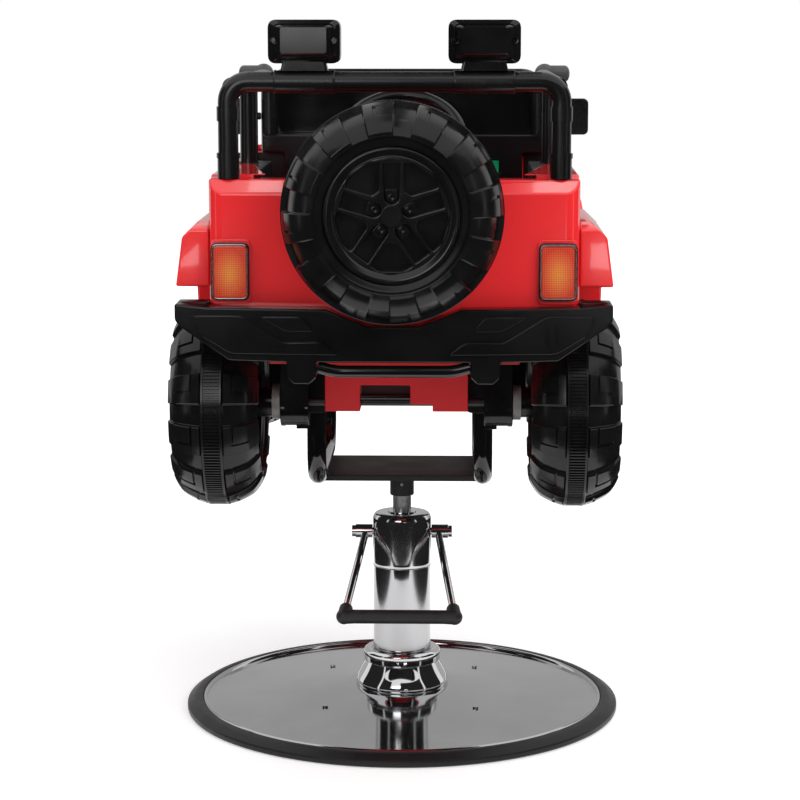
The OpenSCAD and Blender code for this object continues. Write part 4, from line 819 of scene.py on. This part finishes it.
# Ribbed strip round the middle of the tread, between two smooth rails
def bandMesh(place):
    inner = band["half"] - band["rail"]
    rows = [(-band["half"], band["foot"], 0), (-band["half"], band["radius"] - 0.6, 0),
            (-band["half"] + 0.6, band["radius"], 0), (-inner - 0.4, band["radius"], 0), (-inner, None, 1),
            (inner, None, 1), (inner + 0.4, band["radius"], 0), (band["half"] - 0.6, band["radius"], 0),
            (band["half"], band["radius"] - 0.6, 0), (band["half"], band["foot"], 0)]
    shares = ((0, 0), (0.42, 0), (0.55, 1), (0.87, 1))
    columns = [(360 / band["ribs"] * (k + s), h) for k in range(band["ribs"]) for s, h in shares]
    points = []
    for a, r, ribbed in rows:
        for angle, h in columns:
            reach = r if not ribbed else band["ribLow"] + (band["ribHigh"] - band["ribLow"]) * h
            spin = math.radians(angle)
            points.append(place(a, reach * math.cos(spin), reach * math.sin(spin)))
    return meshFrom(points, ringFaces(len(rows), len(columns), True))


cap = {
    "plateRadius": 67, "plateLow": 39.5, "plateThick": 6, "bevel": 1.5, "back": 37,
    "window": ((14, 63.4), (24.2, 57.2), (20.6, 52), (4.6, 31.4),
               (-4.6, 31.4), (-20.6, 52), (-24.2, 57.2), (-14, 63.4)),
    "slotNear": 8.6, "slotFar": 9.8, "slotIn": 21.5, "slotOut": 60,
    "boss": 10.8, "bolt": 2.6, "boltAt": 20.5, "pad": 7.2,
}


def turned(points, angle):
    c, s = math.cos(math.radians(angle)), math.sin(math.radians(angle))
    return [(x * c - y * s, x * s + y * c) for x, y in points]


# Five forked spokes between windows, inside a rolled flange; Z points outwards
def capMesh():
    turns = [2 * math.pi * k / 96 for k in range(96)]
    circle = [(cap["plateRadius"] * math.cos(t), cap["plateRadius"] * math.sin(t)) for t in turns]
    window = rounded(list(cap["window"]), 2.4, 3)
    near = cap["slotNear"]
    slot = [(cap["slotFar"], cap["slotOut"]), (-cap["slotFar"], cap["slotOut"])]
    arc = [math.pi * k / 12 for k in range(13)]
    slot += [(-near * math.cos(t), cap["slotIn"] - near * math.sin(t)) for t in arc]
    slot = rounded(slot, 1.2, 2)
    holes = [turned(window, 36 + 72 * k) for k in range(5)] + [turned(slot, 72 * k) for k in range(5)]
    parts = [(plate(circle, cap["plateThick"], cap["bevel"], holes), at(0, 0, cap["plateLow"]))]
    bore = tyre["bore"]
    flange = rounded([(65.2, 37), (78.6, 37), (78.6, 46.4), (77, 49.2), (74, 49.6), (67.4, 46.6),
                      (65.2, 44)], 2.2, 5)
    back = [(bore, 36.2), (78.4, 36.2), (78.4, cap["back"]), (bore, cap["back"])]
    boss = rounded([(bore, 38), (cap["boss"], 38), (cap["boss"], 46), (9.8, 47), (8.4, 46.4), (bore, 46.4)],
                   0.8, 3)
    parts += [(lathe(shape, steps), Matrix()) for shape, steps in ((flange, 128), (back, 96), (boss, 64))]
    # A pad with a socket bolt in the root of each fork
    seat = cap["pad"]
    foot = [(seat, 9), (seat, 0), (5, -5), (0, -seat), (-5, -5), (-seat, 0), (-seat, 9)]
    padMesh = plate(rounded(foot, 2, 3), 5.4, 0.9)
    bolt = rounded([(0, 41.8), (4.2, 41.8), (3.8, 44.4), (cap["bolt"], 44.4), (cap["bolt"] - 0.5, 42.6),
                    (0, 42.6)], 0.5, 2, closed=False)
    boltMesh = lathe(bolt, 24, closed=False)
    for k in range(5):
        spin = Matrix.Rotation(math.radians(72 * k), 4, "Z") @ at(0, cap["boltAt"], 0)
        parts.append((padMesh, spin @ at(0, 0, cap["back"])))
        parts.append((boltMesh, spin))
    return joined(parts)


def roadPlace(side, end):
    def place(a, u, v):
        return (side * (tyre["roadX"] + a), end * tyre["axleY"] - u, tyre["axleZ"] - v)
    return place


def sparePlace(a, u, v):
    return (u, tyre["spareY"] - a, tyre["spareZ"] + v)


def buildWheels():
    hubcap = capMesh()
    for endName, end in (("Rear", -1), ("Front", 1)):
        for sideName, side in (("Left", -1), ("Right", 1)):
            old = f"wheel_{endName.lower()}_{sideName.lower()}"
            body = bodyOf[old]
            place = roadPlace(side, end)
            name = endName + sideName
            addPiece("tyre" + name, tyreMesh(tyre["roadTurn"], tyre["hubBack"], place), "tyrePlastic", body,
                     [old], sharpAbove=28, flats=True)
            addPiece("band" + name, bandMesh(place), "tyrePlastic", body, sharpAbove=30)
            turn = facing["right" if side > 0 else "left"]
            spot = at(side * tyre["roadX"], end * tyre["axleY"], tyre["axleZ"])
            addPiece("hubcap" + name, joined([(hubcap, spot @ turn)]), "capPlastic", body,
                     sharpAbove=40, flats=True)
    addPiece("tyreSpare", tyreMesh(tyre["spareTurn"], tyre["sideWide"], sparePlace), "tyrePlastic", "car",
             ["spare_wheel"], sharpAbove=28, flats=True)
    addPiece("bandSpare", bandMesh(sparePlace), "tyrePlastic", "car", sharpAbove=30)
    spot = at(0, tyre["spareY"], tyre["spareZ"])
    addPiece("hubcapSpare", joined([(hubcap, spot @ facing["rear"])]), "capPlastic", "car",
             ["spare_hubcap"], sharpAbove=40, flats=True)


buildWheels()
softened("spare_carrier", "spareCarrier", "blackPlastic", 0.8, 2)
print("wheels")

# Red body: CAD node, piece, finish, rolled edge
redPanels = (
    ("body_shell", "shell", "redPlastic", 2.4),
    ("bonnet", "bonnetPanel", "redPlastic", 2.2),
    ("rear_fenders", "wingsRear", "redPlastic", 2.6),
    ("front_fenders", "wingsFront", "redPlastic", 2.6),
    ("door_left", "doorLeft", "redPlastic", 1.4),
    ("door_right", "doorRight", "redPlastic", 1.4),
    ("chassis", "tray", "redFrame", 1.4),
)
for nodeName, pieceName, finish, rolled in redPanels:
    softened(nodeName, pieceName, finish, rolled)
print("body")

# Tail lights on their raised pads
tail = {
    "x": 194, "z": 653, "wide": 43.4, "high": 66, "corner": 7.5, "face": -430, "sunk": 0.3,
    "frame": 2.0, "frameThick": 8.6, "gasket": 1.3, "gasketThick": 4.2, "lensThick": 6.6, "lensGap": 0.1,
    "field": 2.4, "cellsAcross": 18, "cellsUp": 28, "cellLow": 6.5, "cellHigh": 7.1, "cellTop": 0.25,
    "padIn": 169.5, "padOut": 217.5, "padLow": 614, "padHigh": 691, "padCorner": 8, "padThick": 2.4,
    "paintedGlowAcross": 20, "paintedGlowUp": 31, "paintedGlowDrop": 3, "valley": 0.13, "valleyPaintedShade": 0.5,
}


# Red rim turning to a lighter amber towards the bulb, which is a painted glow, and darkened in the valleys
# between the lens's cells, which is painted shade
def lensFinish():
    material = makeFinish("tailLens", (0.72, 0.06, 0.02), 0.2, coat=0.4, mottle=0.05, grain=0.05)
    tree = material.node_tree
    shader = tree.nodes["Principled BSDF"]
    place = node(tree, "ShaderNodeTexCoord")
    apart = node(tree, "ShaderNodeSeparateXYZ")
    link(tree, place.outputs["Object"], apart.inputs[0])

    def maths(kind, a, b=None):
        step = node(tree, "ShaderNodeMath", operation=kind)
        for socket, value in zip(step.inputs, (a, b)):
            if isinstance(value, (int, float)):
                socket.default_value = value
            elif value is not None:
                link(tree, value, socket)
        return step.outputs[0]

    offX = maths("SUBTRACT", maths("ABSOLUTE", apart.outputs["X"]), tail["x"] * mm)
    offZ = maths("SUBTRACT", apart.outputs["Z"], (tail["z"] - tail["paintedGlowDrop"]) * mm)
    both = node(tree, "ShaderNodeCombineXYZ")
    link(tree, maths("DIVIDE", offX, tail["paintedGlowAcross"] * mm), both.inputs[0])
    link(tree, maths("DIVIDE", offZ, tail["paintedGlowUp"] * mm), both.inputs[1])
    far = node(tree, "ShaderNodeVectorMath", operation="LENGTH")
    link(tree, both.outputs[0], far.inputs[0])
    # Painted glow: the colour runs lighter and more amber towards the lens's middle
    ramp = node(tree, "ShaderNodeValToRGB")
    ramp.color_ramp.elements[0].color = (0.92, 0.36, 0.06, 1)
    ramp.color_ramp.elements[1].color = (0.80, 0.075, 0.035, 1)
    ramp.color_ramp.elements.new(0.45).color = (0.88, 0.22, 0.06, 1)
    link(tree, far.outputs["Value"], ramp.inputs[0])
    # Distance from the nearest valley, in both directions, counted in cells and kept above zero
    wide, high = lensField()
    pitchX, pitchZ = wide / tail["cellsAcross"] * mm, high / tail["cellsUp"] * mm
    fieldZ = maths("ADD", offZ, -tail["paintedGlowDrop"] * mm)
    nearX, nearZ = (maths("PINGPONG", maths("ADD", maths("DIVIDE", off, pitch), 100), 0.5)
                    for off, pitch in ((offX, pitchX), (fieldZ, pitchZ)))
    # Painted shade: the valleys between the cells are darkened in the colour
    inValley = maths("LESS_THAN", maths("MINIMUM", nearX, nearZ), tail["valley"])
    valley = maths("MULTIPLY", inValley, tail["valleyPaintedShade"])
    paintedValleyShade = node(tree, "ShaderNodeMix", data_type="RGBA")
    paintedValleyShade.inputs["B"].default_value = (0.12, 0.012, 0.008, 1)
    link(tree, valley, paintedValleyShade.inputs["Factor"])
    link(tree, ramp.outputs[0], paintedValleyShade.inputs["A"])
    link(tree, paintedValleyShade.outputs["Result"], shader.inputs["Base Color"])
    return material


def lensField():
    around = 2 * tail["frame"]
    return tail["wide"] - around - tail["field"], tail["high"] - around - tail["field"]


def buildTailLights():
    w, h, f, c, g = tail["wide"], tail["high"], tail["frame"], tail["corner"], tail["gasket"]
    gap = tail["lensGap"]
    inner = roundedBox(w - 2 * f, h - 2 * f, c - f)
    frameRing = plate(roundedBox(w, h, c), tail["frameThick"], 0.7, [inner])
    gasket = plate(roundedBox(w + 2 * g, h + 2 * g, c + g), tail["gasketThick"], 0.5)
    lensBox = roundedBox(w - 2 * f - 2 * gap, h - 2 * f - 2 * gap, c - f - gap)
    lensBack = plate(lensBox, tail["lensThick"], 0.4)
    # Small blunt pyramids over the lens, none in its corners
    nx, ny = tail["cellsAcross"], tail["cellsUp"]
    gw, gh = lensField()
    cw, ch = gw / nx, gh / ny
    low, high, near, far = tail["cellLow"], tail["cellHigh"], tail["cellTop"], 1 - tail["cellTop"]
    corners = ((0, 0, low), (1, 0, low), (1, 1, low), (0, 1, low),
               (near, near, high), (far, near, high), (far, far, high), (near, far, high))
    points, faces = [], []
    for i in range(nx):
        for j in range(ny):
            if i in (0, nx - 1) and j in (0, ny - 1):
                continue
            x0, y0 = -gw / 2 + i * cw, -gh / 2 + j * ch
            b = len(points)
            points += [(x0 + cw * u, y0 + ch * v, z) for u, v, z in corners]
            faces += [(b, b + 1, b + 5, b + 4), (b + 1, b + 2, b + 6, b + 5), (b + 2, b + 3, b + 7, b + 6),
                      (b + 3, b, b + 4, b + 7), (b + 4, b + 5, b + 6, b + 7)]
    cells = bpy.data.meshes.new("cells")
    cells.from_pydata(points, [], faces)
    padBox = roundedBox(tail["padOut"] - tail["padIn"], tail["padHigh"] - tail["padLow"], tail["padCorner"])
    pad = plate(padBox, tail["padThick"], 1.2)
    padX, padZ = (tail["padIn"] + tail["padOut"]) / 2, (tail["padLow"] + tail["padHigh"]) / 2
    frames, gaskets, lenses, raised = [], [], [], []
    for side in (-1, 1):
        spot = at(side * tail["x"], tail["face"] - tail["sunk"], tail["z"]) @ facing["rear"]
        frames.append((frameRing, spot))
        gaskets.append((gasket, spot))
        lenses += [(lensBack, spot), (cells, spot)]
        raised.append((pad, at(side * padX, tail["face"], padZ) @ facing["rear"]))
    addPiece("tailFrames", joined(frames), "silverTrim", "car", flats=True)
    addPiece("tailGaskets", joined(gaskets), "blackPlastic", "car", flats=True)
    addPiece("tailLenses", joined(lenses), lensFinish(), "car", ["tail_lights"], sharpAbove=20)
    addPiece("tailPads", joined(raised), "redPlastic", "car", flats=True)


buildTailLights()

# Rear bumper with its raised panels and ribs
bumper = {
    "back": -458, "zero": 540, "raise": 3.4, "bevel": 1.3, "corner": 7, "sunk": 0.2,
    "wing": ((-237, 63.7), (-180, 63.7), (-129, 31.7), (-84.6, 32.9), (-63.6, 16.9), (-192, 18.6),
             (-230, 41.8)),
    "inner": ((-158, 62.5), (-107, 62.5), (-93, 44.7), (-127, 44.7)),
    "ribs": (191.9, 181.4), "ribLow": 29, "ribHigh": 55, "ribWide": 3.0, "ribRise": 1.4, "ribRoot": 1,
    "towRadius": 7.2, "towBack": -445, "towMiddle": 535.6, "towEnd": 541, "towHalf": 90.4, "towBend": 62,
    "towBendLong": 8, "towCurve": 16,
}


def buildBumper():
    softened("rear_bumper", "rearBumper", "blackPlastic", 2.4)
    parts = []
    back, zero, half = bumper["back"], bumper["zero"], bumper["ribWide"] / 2
    for side in (-1, 1):
        for name in ("wing", "inner"):
            outline = [(-side * x, z) for x, z in bumper[name]]
            shape = plate(rounded(outline, bumper["corner"], 4), bumper["raise"], bumper["bevel"])
            parts.append((shape, at(0, back + bumper["sunk"], zero) @ facing["rear"]))
        for x in bumper["ribs"]:
            low = (side * x - half, back - bumper["raise"] - bumper["ribRise"], zero + bumper["ribLow"])
            high = (side * x + half, back - bumper["ribRoot"], zero + bumper["ribHigh"])
            parts.append((block(low, high, 0.9), Matrix()))
    addPiece("bumperPanels", joined(parts), "blackPlastic", "car", flats=True)
    half, bend, back = bumper["towHalf"], bumper["towBend"] + bumper["towBendLong"], bumper["towBack"]
    low, high = bumper["towMiddle"], bumper["towEnd"]
    route = [(-half, back, high), (-bend, back, low), (bend, back, low), (half, back, high)]
    bar = tube(rounded(route, bumper["towCurve"], 8, closed=False), bumper["towRadius"], 32)
    addPiece("towBar", bar, "blackPaint", "car", ["tow_bar"], sharpAbove=50)


buildBumper()
softened("front_bumper", "frontBumper", "blackPlastic", 2.4)
print("lights and bumpers")

# Cage, lamps, screen
dress({"rear_hoop": "blackSatin", "cage_rails": "blackSatin", "windscreen_frame": "blackSatin",
       "windscreen": "smokedScreen"})

lamp = {"x": 106, "y": -405, "low": 896.5, "wide": 85, "high": 51, "deep": 46, "corner": 10, "neckLow": 888,
        "panelWide": 27, "panelHigh": 15, "panelUp": 1.5, "screwX": 34.6, "screwRadius": 4.5}


def buildLamps():
    w, h, d = lamp["wide"] / 2, lamp["high"] / 2, lamp["deep"] / 2
    pw, ph, up, c = lamp["panelWide"], lamp["panelHigh"], lamp["panelUp"], lamp["corner"]
    shell = loft([(-d + 2, w - 4, h - 4, c - 3, 0), (-d, w - 1, h - 1, c - 1, 0), (-d + 1, w, h, c, 0),
                  (d - 14, w, h, c, 0), (d - 12.6, w - 0.9, h - 0.9, c - 1, 0),
                  (d - 8.4, w - 6.6, h - 4.6, c - 3, 0), (d - 9.0, w - 7.2, h - 5.2, c - 3.4, 0),
                  (d - 8.0, w - 7.9, h - 5.9, c - 4, 0),
                  (d - 1.9, pw + 2.2, ph + 2, 4.4, up), (d - 1.5, pw + 1.4, ph + 1.4, 4, up),
                  (d - 0.5, pw + 0.6, ph + 0.6, 3.6, up), (d, pw, ph, 3.2, up)])
    neck = loft([(0, 28, 11.6, 3, 0), (3, 27.4, 11.6, 3, 0), (9, 26, 11.6, 3, 0), (16, 25.6, 11.6, 3, 0)])
    rs = lamp["screwRadius"]
    cup = lathe([(0, -0.4), (1.9, -0.4), (2.1, -2.2), (rs - 1.3, -2.2), (rs - 1.0, 0.5), (rs - 0.2, 0.7),
                 (rs, 0.2), (rs, -6), (0, -6)], 28, closed=False)
    parts, lenses = [], []
    lens = plate(roundedBox(lamp["wide"] - 16, lamp["high"] - 14, 8), 3, 1)
    middle = lamp["low"] + h
    for side in (-1, 1):
        spot = at(side * lamp["x"], lamp["y"], middle)
        parts.append((shell, spot @ facing["rear"]))
        parts.append((neck, at(side * lamp["x"], lamp["y"], lamp["neckLow"])))
        for end in (-1, 1):
            parts.append((cup, spot @ at(end * lamp["screwX"], -d + 5, up) @ facing["rear"]))
        lenses.append((lens, spot @ at(0, d - 2, 0) @ facing["front"]))
    addPiece("roofLamps", joined(parts), "lampPlastic", "car", ["roof_lamps"],
             sharpAbove=24, flats=True)
    addPiece("roofLampLenses", joined(lenses), "clearLens", "car", flats=True)


# Clamp sleeves under the lamps, and the elbows on the screen frame's top corners
sleeve = {"z": 875, "half": 36, "bore": 12.1, "radius": 13.1, "lip": 14, "lipWide": 2.2,
          "elbowX": 196, "elbowY": 116, "elbowZ": 873, "elbowRadius": 14, "knobRadius": 11.5, "knobEnd": 231}


def buildSleeves():
    half, r, lip, wide = sleeve["half"], sleeve["radius"], sleeve["lip"], sleeve["lipWide"]
    bore = sleeve["bore"]
    profile = [(bore, -half), (lip - 0.4, -half), (lip, -half + 0.5), (lip, -half + wide),
               (r, -half + wide + 0.3), (r, half - wide - 0.3), (lip, half - wide), (lip, half - 0.5),
               (lip - 0.4, half), (bore, half)]
    ring = lathe(profile, 48)
    lying = Matrix.Rotation(math.radians(90), 4, "Y")
    clamps = [(ring, at(side * lamp["x"], lamp["y"], sleeve["z"]) @ lying) for side in (-1, 1)]
    addPiece("lampSleeves", joined(clamps), "blackSatin", "car", sharpAbove=40)
    big, small, tip = sleeve["elbowRadius"], sleeve["knobRadius"], sleeve["knobEnd"]
    arc = [math.pi * k / 12 for k in range(13)]
    ball = lathe([(big * math.sin(t), -big * math.cos(t)) for t in arc], 32, closed=False)
    reach = tip - sleeve["elbowX"]
    end = [(small * math.cos(t), reach - small * 0.6 * (1 - math.sin(t))) for t in arc[:7]]
    knob = lathe([(0, 0), (small, 0)] + end, 32, closed=False)
    parts = []
    for side in (-1, 1):
        spot = at(side * sleeve["elbowX"], sleeve["elbowY"], sleeve["elbowZ"])
        parts += [(ball, spot), (knob, spot @ Matrix.Rotation(math.radians(90 * side), 4, "Y"))]
    addPiece("frameElbows", joined(parts), "elbowPlastic", "car", sharpAbove=40)


buildSleeves()
buildLamps()
print("cage and lamps")

# Underside at the rear: the keel's recess, coloured a darkened red as painted shade, its rod, the bands and
# feet of the gear cases, and dark sheets in the wheel wells as painted shade
under = {
    "recessIn": 17, "recessOut": -44, "recessLow": 486, "recessHigh": 500, "recessY": -303, "recessDeep": 3,
    "rodY": -306, "rodZ": 483, "rodRadius": 3.8, "rodPast": 2, "gearZ": 467, "gearY": -300,
    "bandBore": 20.5, "bandRadius": 21.7, "bandEdge": 0.3, "bands": ((110, 114), (139, 144)),
    "footLow": 442.8, "footIn": 110, "footOut": 125, "footHalf": 8, "footTop": 19,
    "axleZ": 476, "spacerInner": 11,
    "shadeSheetIn": 84, "shadeSheetOut": 162, "shadeSheetLow": 456, "shadeSheetHigh": 534, "shadeSheetY": -262,
}


# Dark rod with pale spacers beside the wheels
def axleFinish():
    material = makeFinish("axleSteel", (0.22, 0.22, 0.215), 0.35, mottle=0.12, mottleSize=9, grain=0.2)
    tree = material.node_tree
    shader = tree.nodes["Principled BSDF"]
    pale = shader.inputs["Base Color"].links[0].from_socket
    place = node(tree, "ShaderNodeTexCoord")
    shifted = node(tree, "ShaderNodeVectorMath", operation="ADD")
    shifted.inputs[1].default_value = (0, -under["gearY"] * mm, -under["axleZ"] * mm)
    link(tree, place.outputs["Object"], shifted.inputs[0])
    flat = node(tree, "ShaderNodeVectorMath", operation="MULTIPLY")
    flat.inputs[1].default_value = (0, 1, 1)
    link(tree, shifted.outputs[0], flat.inputs[0])
    far = node(tree, "ShaderNodeVectorMath", operation="LENGTH")
    link(tree, flat.outputs[0], far.inputs[0])
    onSpacer = node(tree, "ShaderNodeMath", operation="GREATER_THAN")
    onSpacer.inputs[1].default_value = under["spacerInner"] * mm
    link(tree, far.outputs["Value"], onSpacer.inputs[0])
    mix = node(tree, "ShaderNodeMix", data_type="RGBA")
    mix.inputs["A"].default_value = (0.01, 0.01, 0.01, 1)
    link(tree, onSpacer.outputs[0], mix.inputs["Factor"])
    link(tree, pale, mix.inputs["B"])
    link(tree, mix.outputs["Result"], shader.inputs["Base Color"])
    return material


def buildUnderside():
    flips = [Matrix.Scale(side, 4, (1, 0, 0)) for side in (-1, 1)]
    panel = block((under["recessOut"], under["recessY"], under["recessLow"]),
                  (under["recessIn"], under["recessY"] + under["recessDeep"], under["recessHigh"]), 0.5)
    # Painted shade: the recess takes a darkened copy of the frame's red
    addPiece("keelRecess", panel, "frameRedInPaintedShade", "car", flats=True)
    ends = (under["recessOut"] - under["rodPast"], under["recessIn"] + under["rodPast"])
    rod = tube([(x, under["rodY"], under["rodZ"]) for x in ends], under["rodRadius"], 24)
    addPiece("keelRod", rod, "blackPaint", "car", sharpAbove=50)
    parts = []
    lying = at(0, under["gearY"], under["gearZ"]) @ Matrix.Rotation(math.radians(90), 4, "Y")
    inner, r, edge = under["bandBore"], under["bandRadius"], under["bandEdge"]
    for flip in flips:
        for near, far in under["bands"]:
            ring = lathe([(inner, near), (r - edge, near), (r, near + edge), (r, far - edge),
                          (r - edge, far), (inner, far)], steps=64)
            parts.append((ring, flip @ lying))
        low = (under["footIn"], under["gearY"] - under["footHalf"], under["footLow"])
        high = (under["footOut"], under["gearY"] + under["footHalf"], under["gearZ"] - under["footTop"])
        parts.append((block(low, high, 0.6), flip))
    addPiece("gearBands", joined(parts), "blackPlastic", "car", flats=True)
    # Dark sheets that close the wheel wells from the keel to the tyres, painted shade where the wells lie in
    # shadow
    wide, high = under["shadeSheetOut"] - under["shadeSheetIn"], under["shadeSheetHigh"] - under["shadeSheetLow"]
    shadeSheet = plate(roundedBox(wide, high, 12), 2.4, 0.8)
    middleX, middleZ = under["shadeSheetIn"] + wide / 2, under["shadeSheetLow"] + high / 2
    spots = [at(side * middleX, under["shadeSheetY"], middleZ) @ facing["rear"] for side in (-1, 1)]
    shadeSheets = joined([(shadeSheet, spot) for spot in spots])
    addPiece("wellShadeSheets", shadeSheets, "seatPlastic", "car", flats=True)


# Rims and fluted glasses on the front lights
front = {"x": 167, "z": 677.5, "wide": 50, "high": 62, "face": 448.4, "corner": 9, "rim": 4, "thick": 2.4,
         "flutes": 9, "fluteDeep": 1.2, "fluteShare": 0.42, "fluteShort": 3}


def buildHeadRims():
    w, h, rim, c = front["wide"], front["high"], front["rim"], front["corner"]
    ring = plate(roundedBox(w, h, c), front["thick"], 0.8, [roundedBox(w - 2 * rim, h - 2 * rim, c - rim)])
    short = front["fluteShort"]
    inner, half = w - 2 * rim - short, (h - 2 * rim) / 2 - short
    step = inner / front["flutes"]
    across = step * front["fluteShare"]
    flute = block((-across, -half, 0), (across, half, front["fluteDeep"]), 0.5)
    rims, flutes = [], []
    for side in (-1, 1):
        spot = at(side * front["x"], front["face"], front["z"]) @ facing["front"]
        rims.append((ring, spot))
        flutes += [(flute, spot @ at(-inner / 2 + step * (k + 0.5), 0, 0)) for k in range(front["flutes"])]
    addPiece("headRims", joined(rims), "silverTrim", "car", flats=True)
    addPiece("headFlutes", joined(flutes), "clearLens", "car", flats=True)


# Black sheets beside the dash, on the deck and on the cabin's inner walls as painted shade in the cabin, red
# deck ledges, and the screen's seal
trim = {
    "cowlIn": 130, "cowlOut": 207.5, "cowlLow": 600, "cowlHigh": 764.6, "cowlY": 99.6, "cowlThick": 3,
    "cowlCorner": 3, "deckTop": 765, "deckThick": 1.2, "deckSunk": 0.2, "rim": 168, "rimLap": 1,
    "deckRear": -388, "deckFront": -131, "deckTurn": -310, "rearIn": 155, "frontIn": 194,
    "wallLow": 640, "wallThick": 1.4, "wallCorner": 2, "wallSunk": 0.1,
    "sealX": 181, "sealLow": 785, "sealHigh": 860, "sealWide": 11, "sealY": 117, "sealThick": 2,
    "sealCorner": 8,
}


def buildTrims():
    rim, lap, turn, thick = trim["rim"], trim["rimLap"], trim["deckTurn"], trim["deckThick"]
    cowl = roundedBox(trim["cowlOut"] - trim["cowlIn"], trim["cowlHigh"] - trim["cowlLow"],
                      trim["cowlCorner"])
    cowlShadeSheet = plate(cowl, trim["cowlThick"], 0.6)
    middle = ((trim["cowlIn"] + trim["cowlOut"]) / 2, (trim["cowlLow"] + trim["cowlHigh"]) / 2)
    blacks = [(cowlShadeSheet, at(side * middle[0], trim["cowlY"], middle[1]) @ facing["rear"]) for side in (-1, 1)]
    cover = plate([(rim - lap, turn), (trim["frontIn"], trim["deckFront"]), (rim - lap, trim["deckFront"])],
                  thick, 0.4)
    long, tall = trim["deckFront"] - turn, trim["deckTop"] - trim["wallLow"]
    wall = plate(roundedBox(long, tall, trim["wallCorner"]), trim["wallThick"], 0.4)
    place = ((trim["deckFront"] + turn) / 2, (trim["deckTop"] + trim["wallLow"]) / 2)
    blacks.append((wall, at(-rim - trim["wallSunk"], *place) @ facing["right"]))
    blacks.append((wall, at(rim + trim["wallSunk"], *place) @ facing["left"]))
    ledge = plate([(rim + lap, trim["deckRear"]), (rim + lap, turn), (trim["rearIn"], trim["deckRear"])],
                  thick, 0.4)
    flips = [Matrix.Scale(side, 4, (1, 0, 0)) for side in (-1, 1)]
    deck = trim["deckTop"] - trim["deckSunk"]
    blacks += [(cover, at(0, 0, deck) @ flip) for flip in flips]
    reds = [(ledge, at(0, 0, deck - thick / 2) @ flip) for flip in flips]
    # Black sheets standing in for the shade inside the cabin: painted shade
    addPiece("cabinShadeSheets", joined(blacks), "seatPlastic", "car", flats=True)
    addPiece("deckLedges", joined(reds), "redPlastic", "car", flats=True)
    high, corner, wide = trim["sealHigh"] - trim["sealLow"], trim["sealCorner"], trim["sealWide"]
    hole = roundedBox(2 * (trim["sealX"] - wide), high - wide, corner - 3)
    seal = plate(roundedBox(2 * trim["sealX"], high, corner), trim["sealThick"], 0.5, [hole])
    spot = at(0, trim["sealY"], (trim["sealHigh"] + trim["sealLow"]) / 2) @ facing["rear"]
    addPiece("screenSeal", joined([(seal, spot)]), "blackSatin", "car", flats=True)


buildTrims()

# Cabin
softened("seat", "seatShell", "seatPlastic", 4.0)

# Raised pads on the seat, its back and its head rest
pads = {"wide": 262, "deep": 36, "pitch": 41, "rows": 5, "rear": -290, "top": 662.4, "face": -314.2,
        "backRows": (688, 722), "backHigh": 28, "headWide": 118, "headHigh": 38, "headZ": 772,
        "thick": 3.2, "bevel": 1.5, "corner": 11}


def buildPads():
    sizes = (("wide", "deep"), ("wide", "backHigh"), ("headWide", "headHigh"))
    cushion, back, rest = (plate(roundedBox(pads[w], pads[h], pads["corner"]), pads["thick"], pads["bevel"])
                           for w, h in sizes)
    parts = [(cushion, at(0, pads["rear"] + pads["pitch"] * k, pads["top"])) for k in range(pads["rows"])]
    parts += [(back, at(0, pads["face"], z) @ facing["front"]) for z in pads["backRows"]]
    parts.append((rest, at(0, pads["face"], pads["headZ"]) @ facing["front"]))
    addPiece("seatPads", joined(parts), "seatPlastic", "car", flats=True)


buildPads()
softened("dashboard", "dash", "blackPlastic", 3.0)
softened("mirrors", "mirrorShells", "blackPlastic", 1.5)
softened("grille", "nosePanel", "blackPlastic", 1.2)
softened("headlights", "headLamps", "clearLens", 1.6)
buildHeadRims()
softened("gearboxes", "gearCases", "blackPlastic", 1.5)
buildUnderside()
softened("front_axle", "frontBeam", "blackSatin", 0.8, 2)
dress({
    "steering_column": "satinSteel", "steering_wheel": "blackPlastic", "horn_button": "blackSatin",
    "rocker_button": "greenPlastic", "rear_axle": axleFinish(), "knuckle_left": "blackSatin",
    "knuckle_right": "blackSatin", "tie_rod": "zinc",
})
print("cabin and running gear")
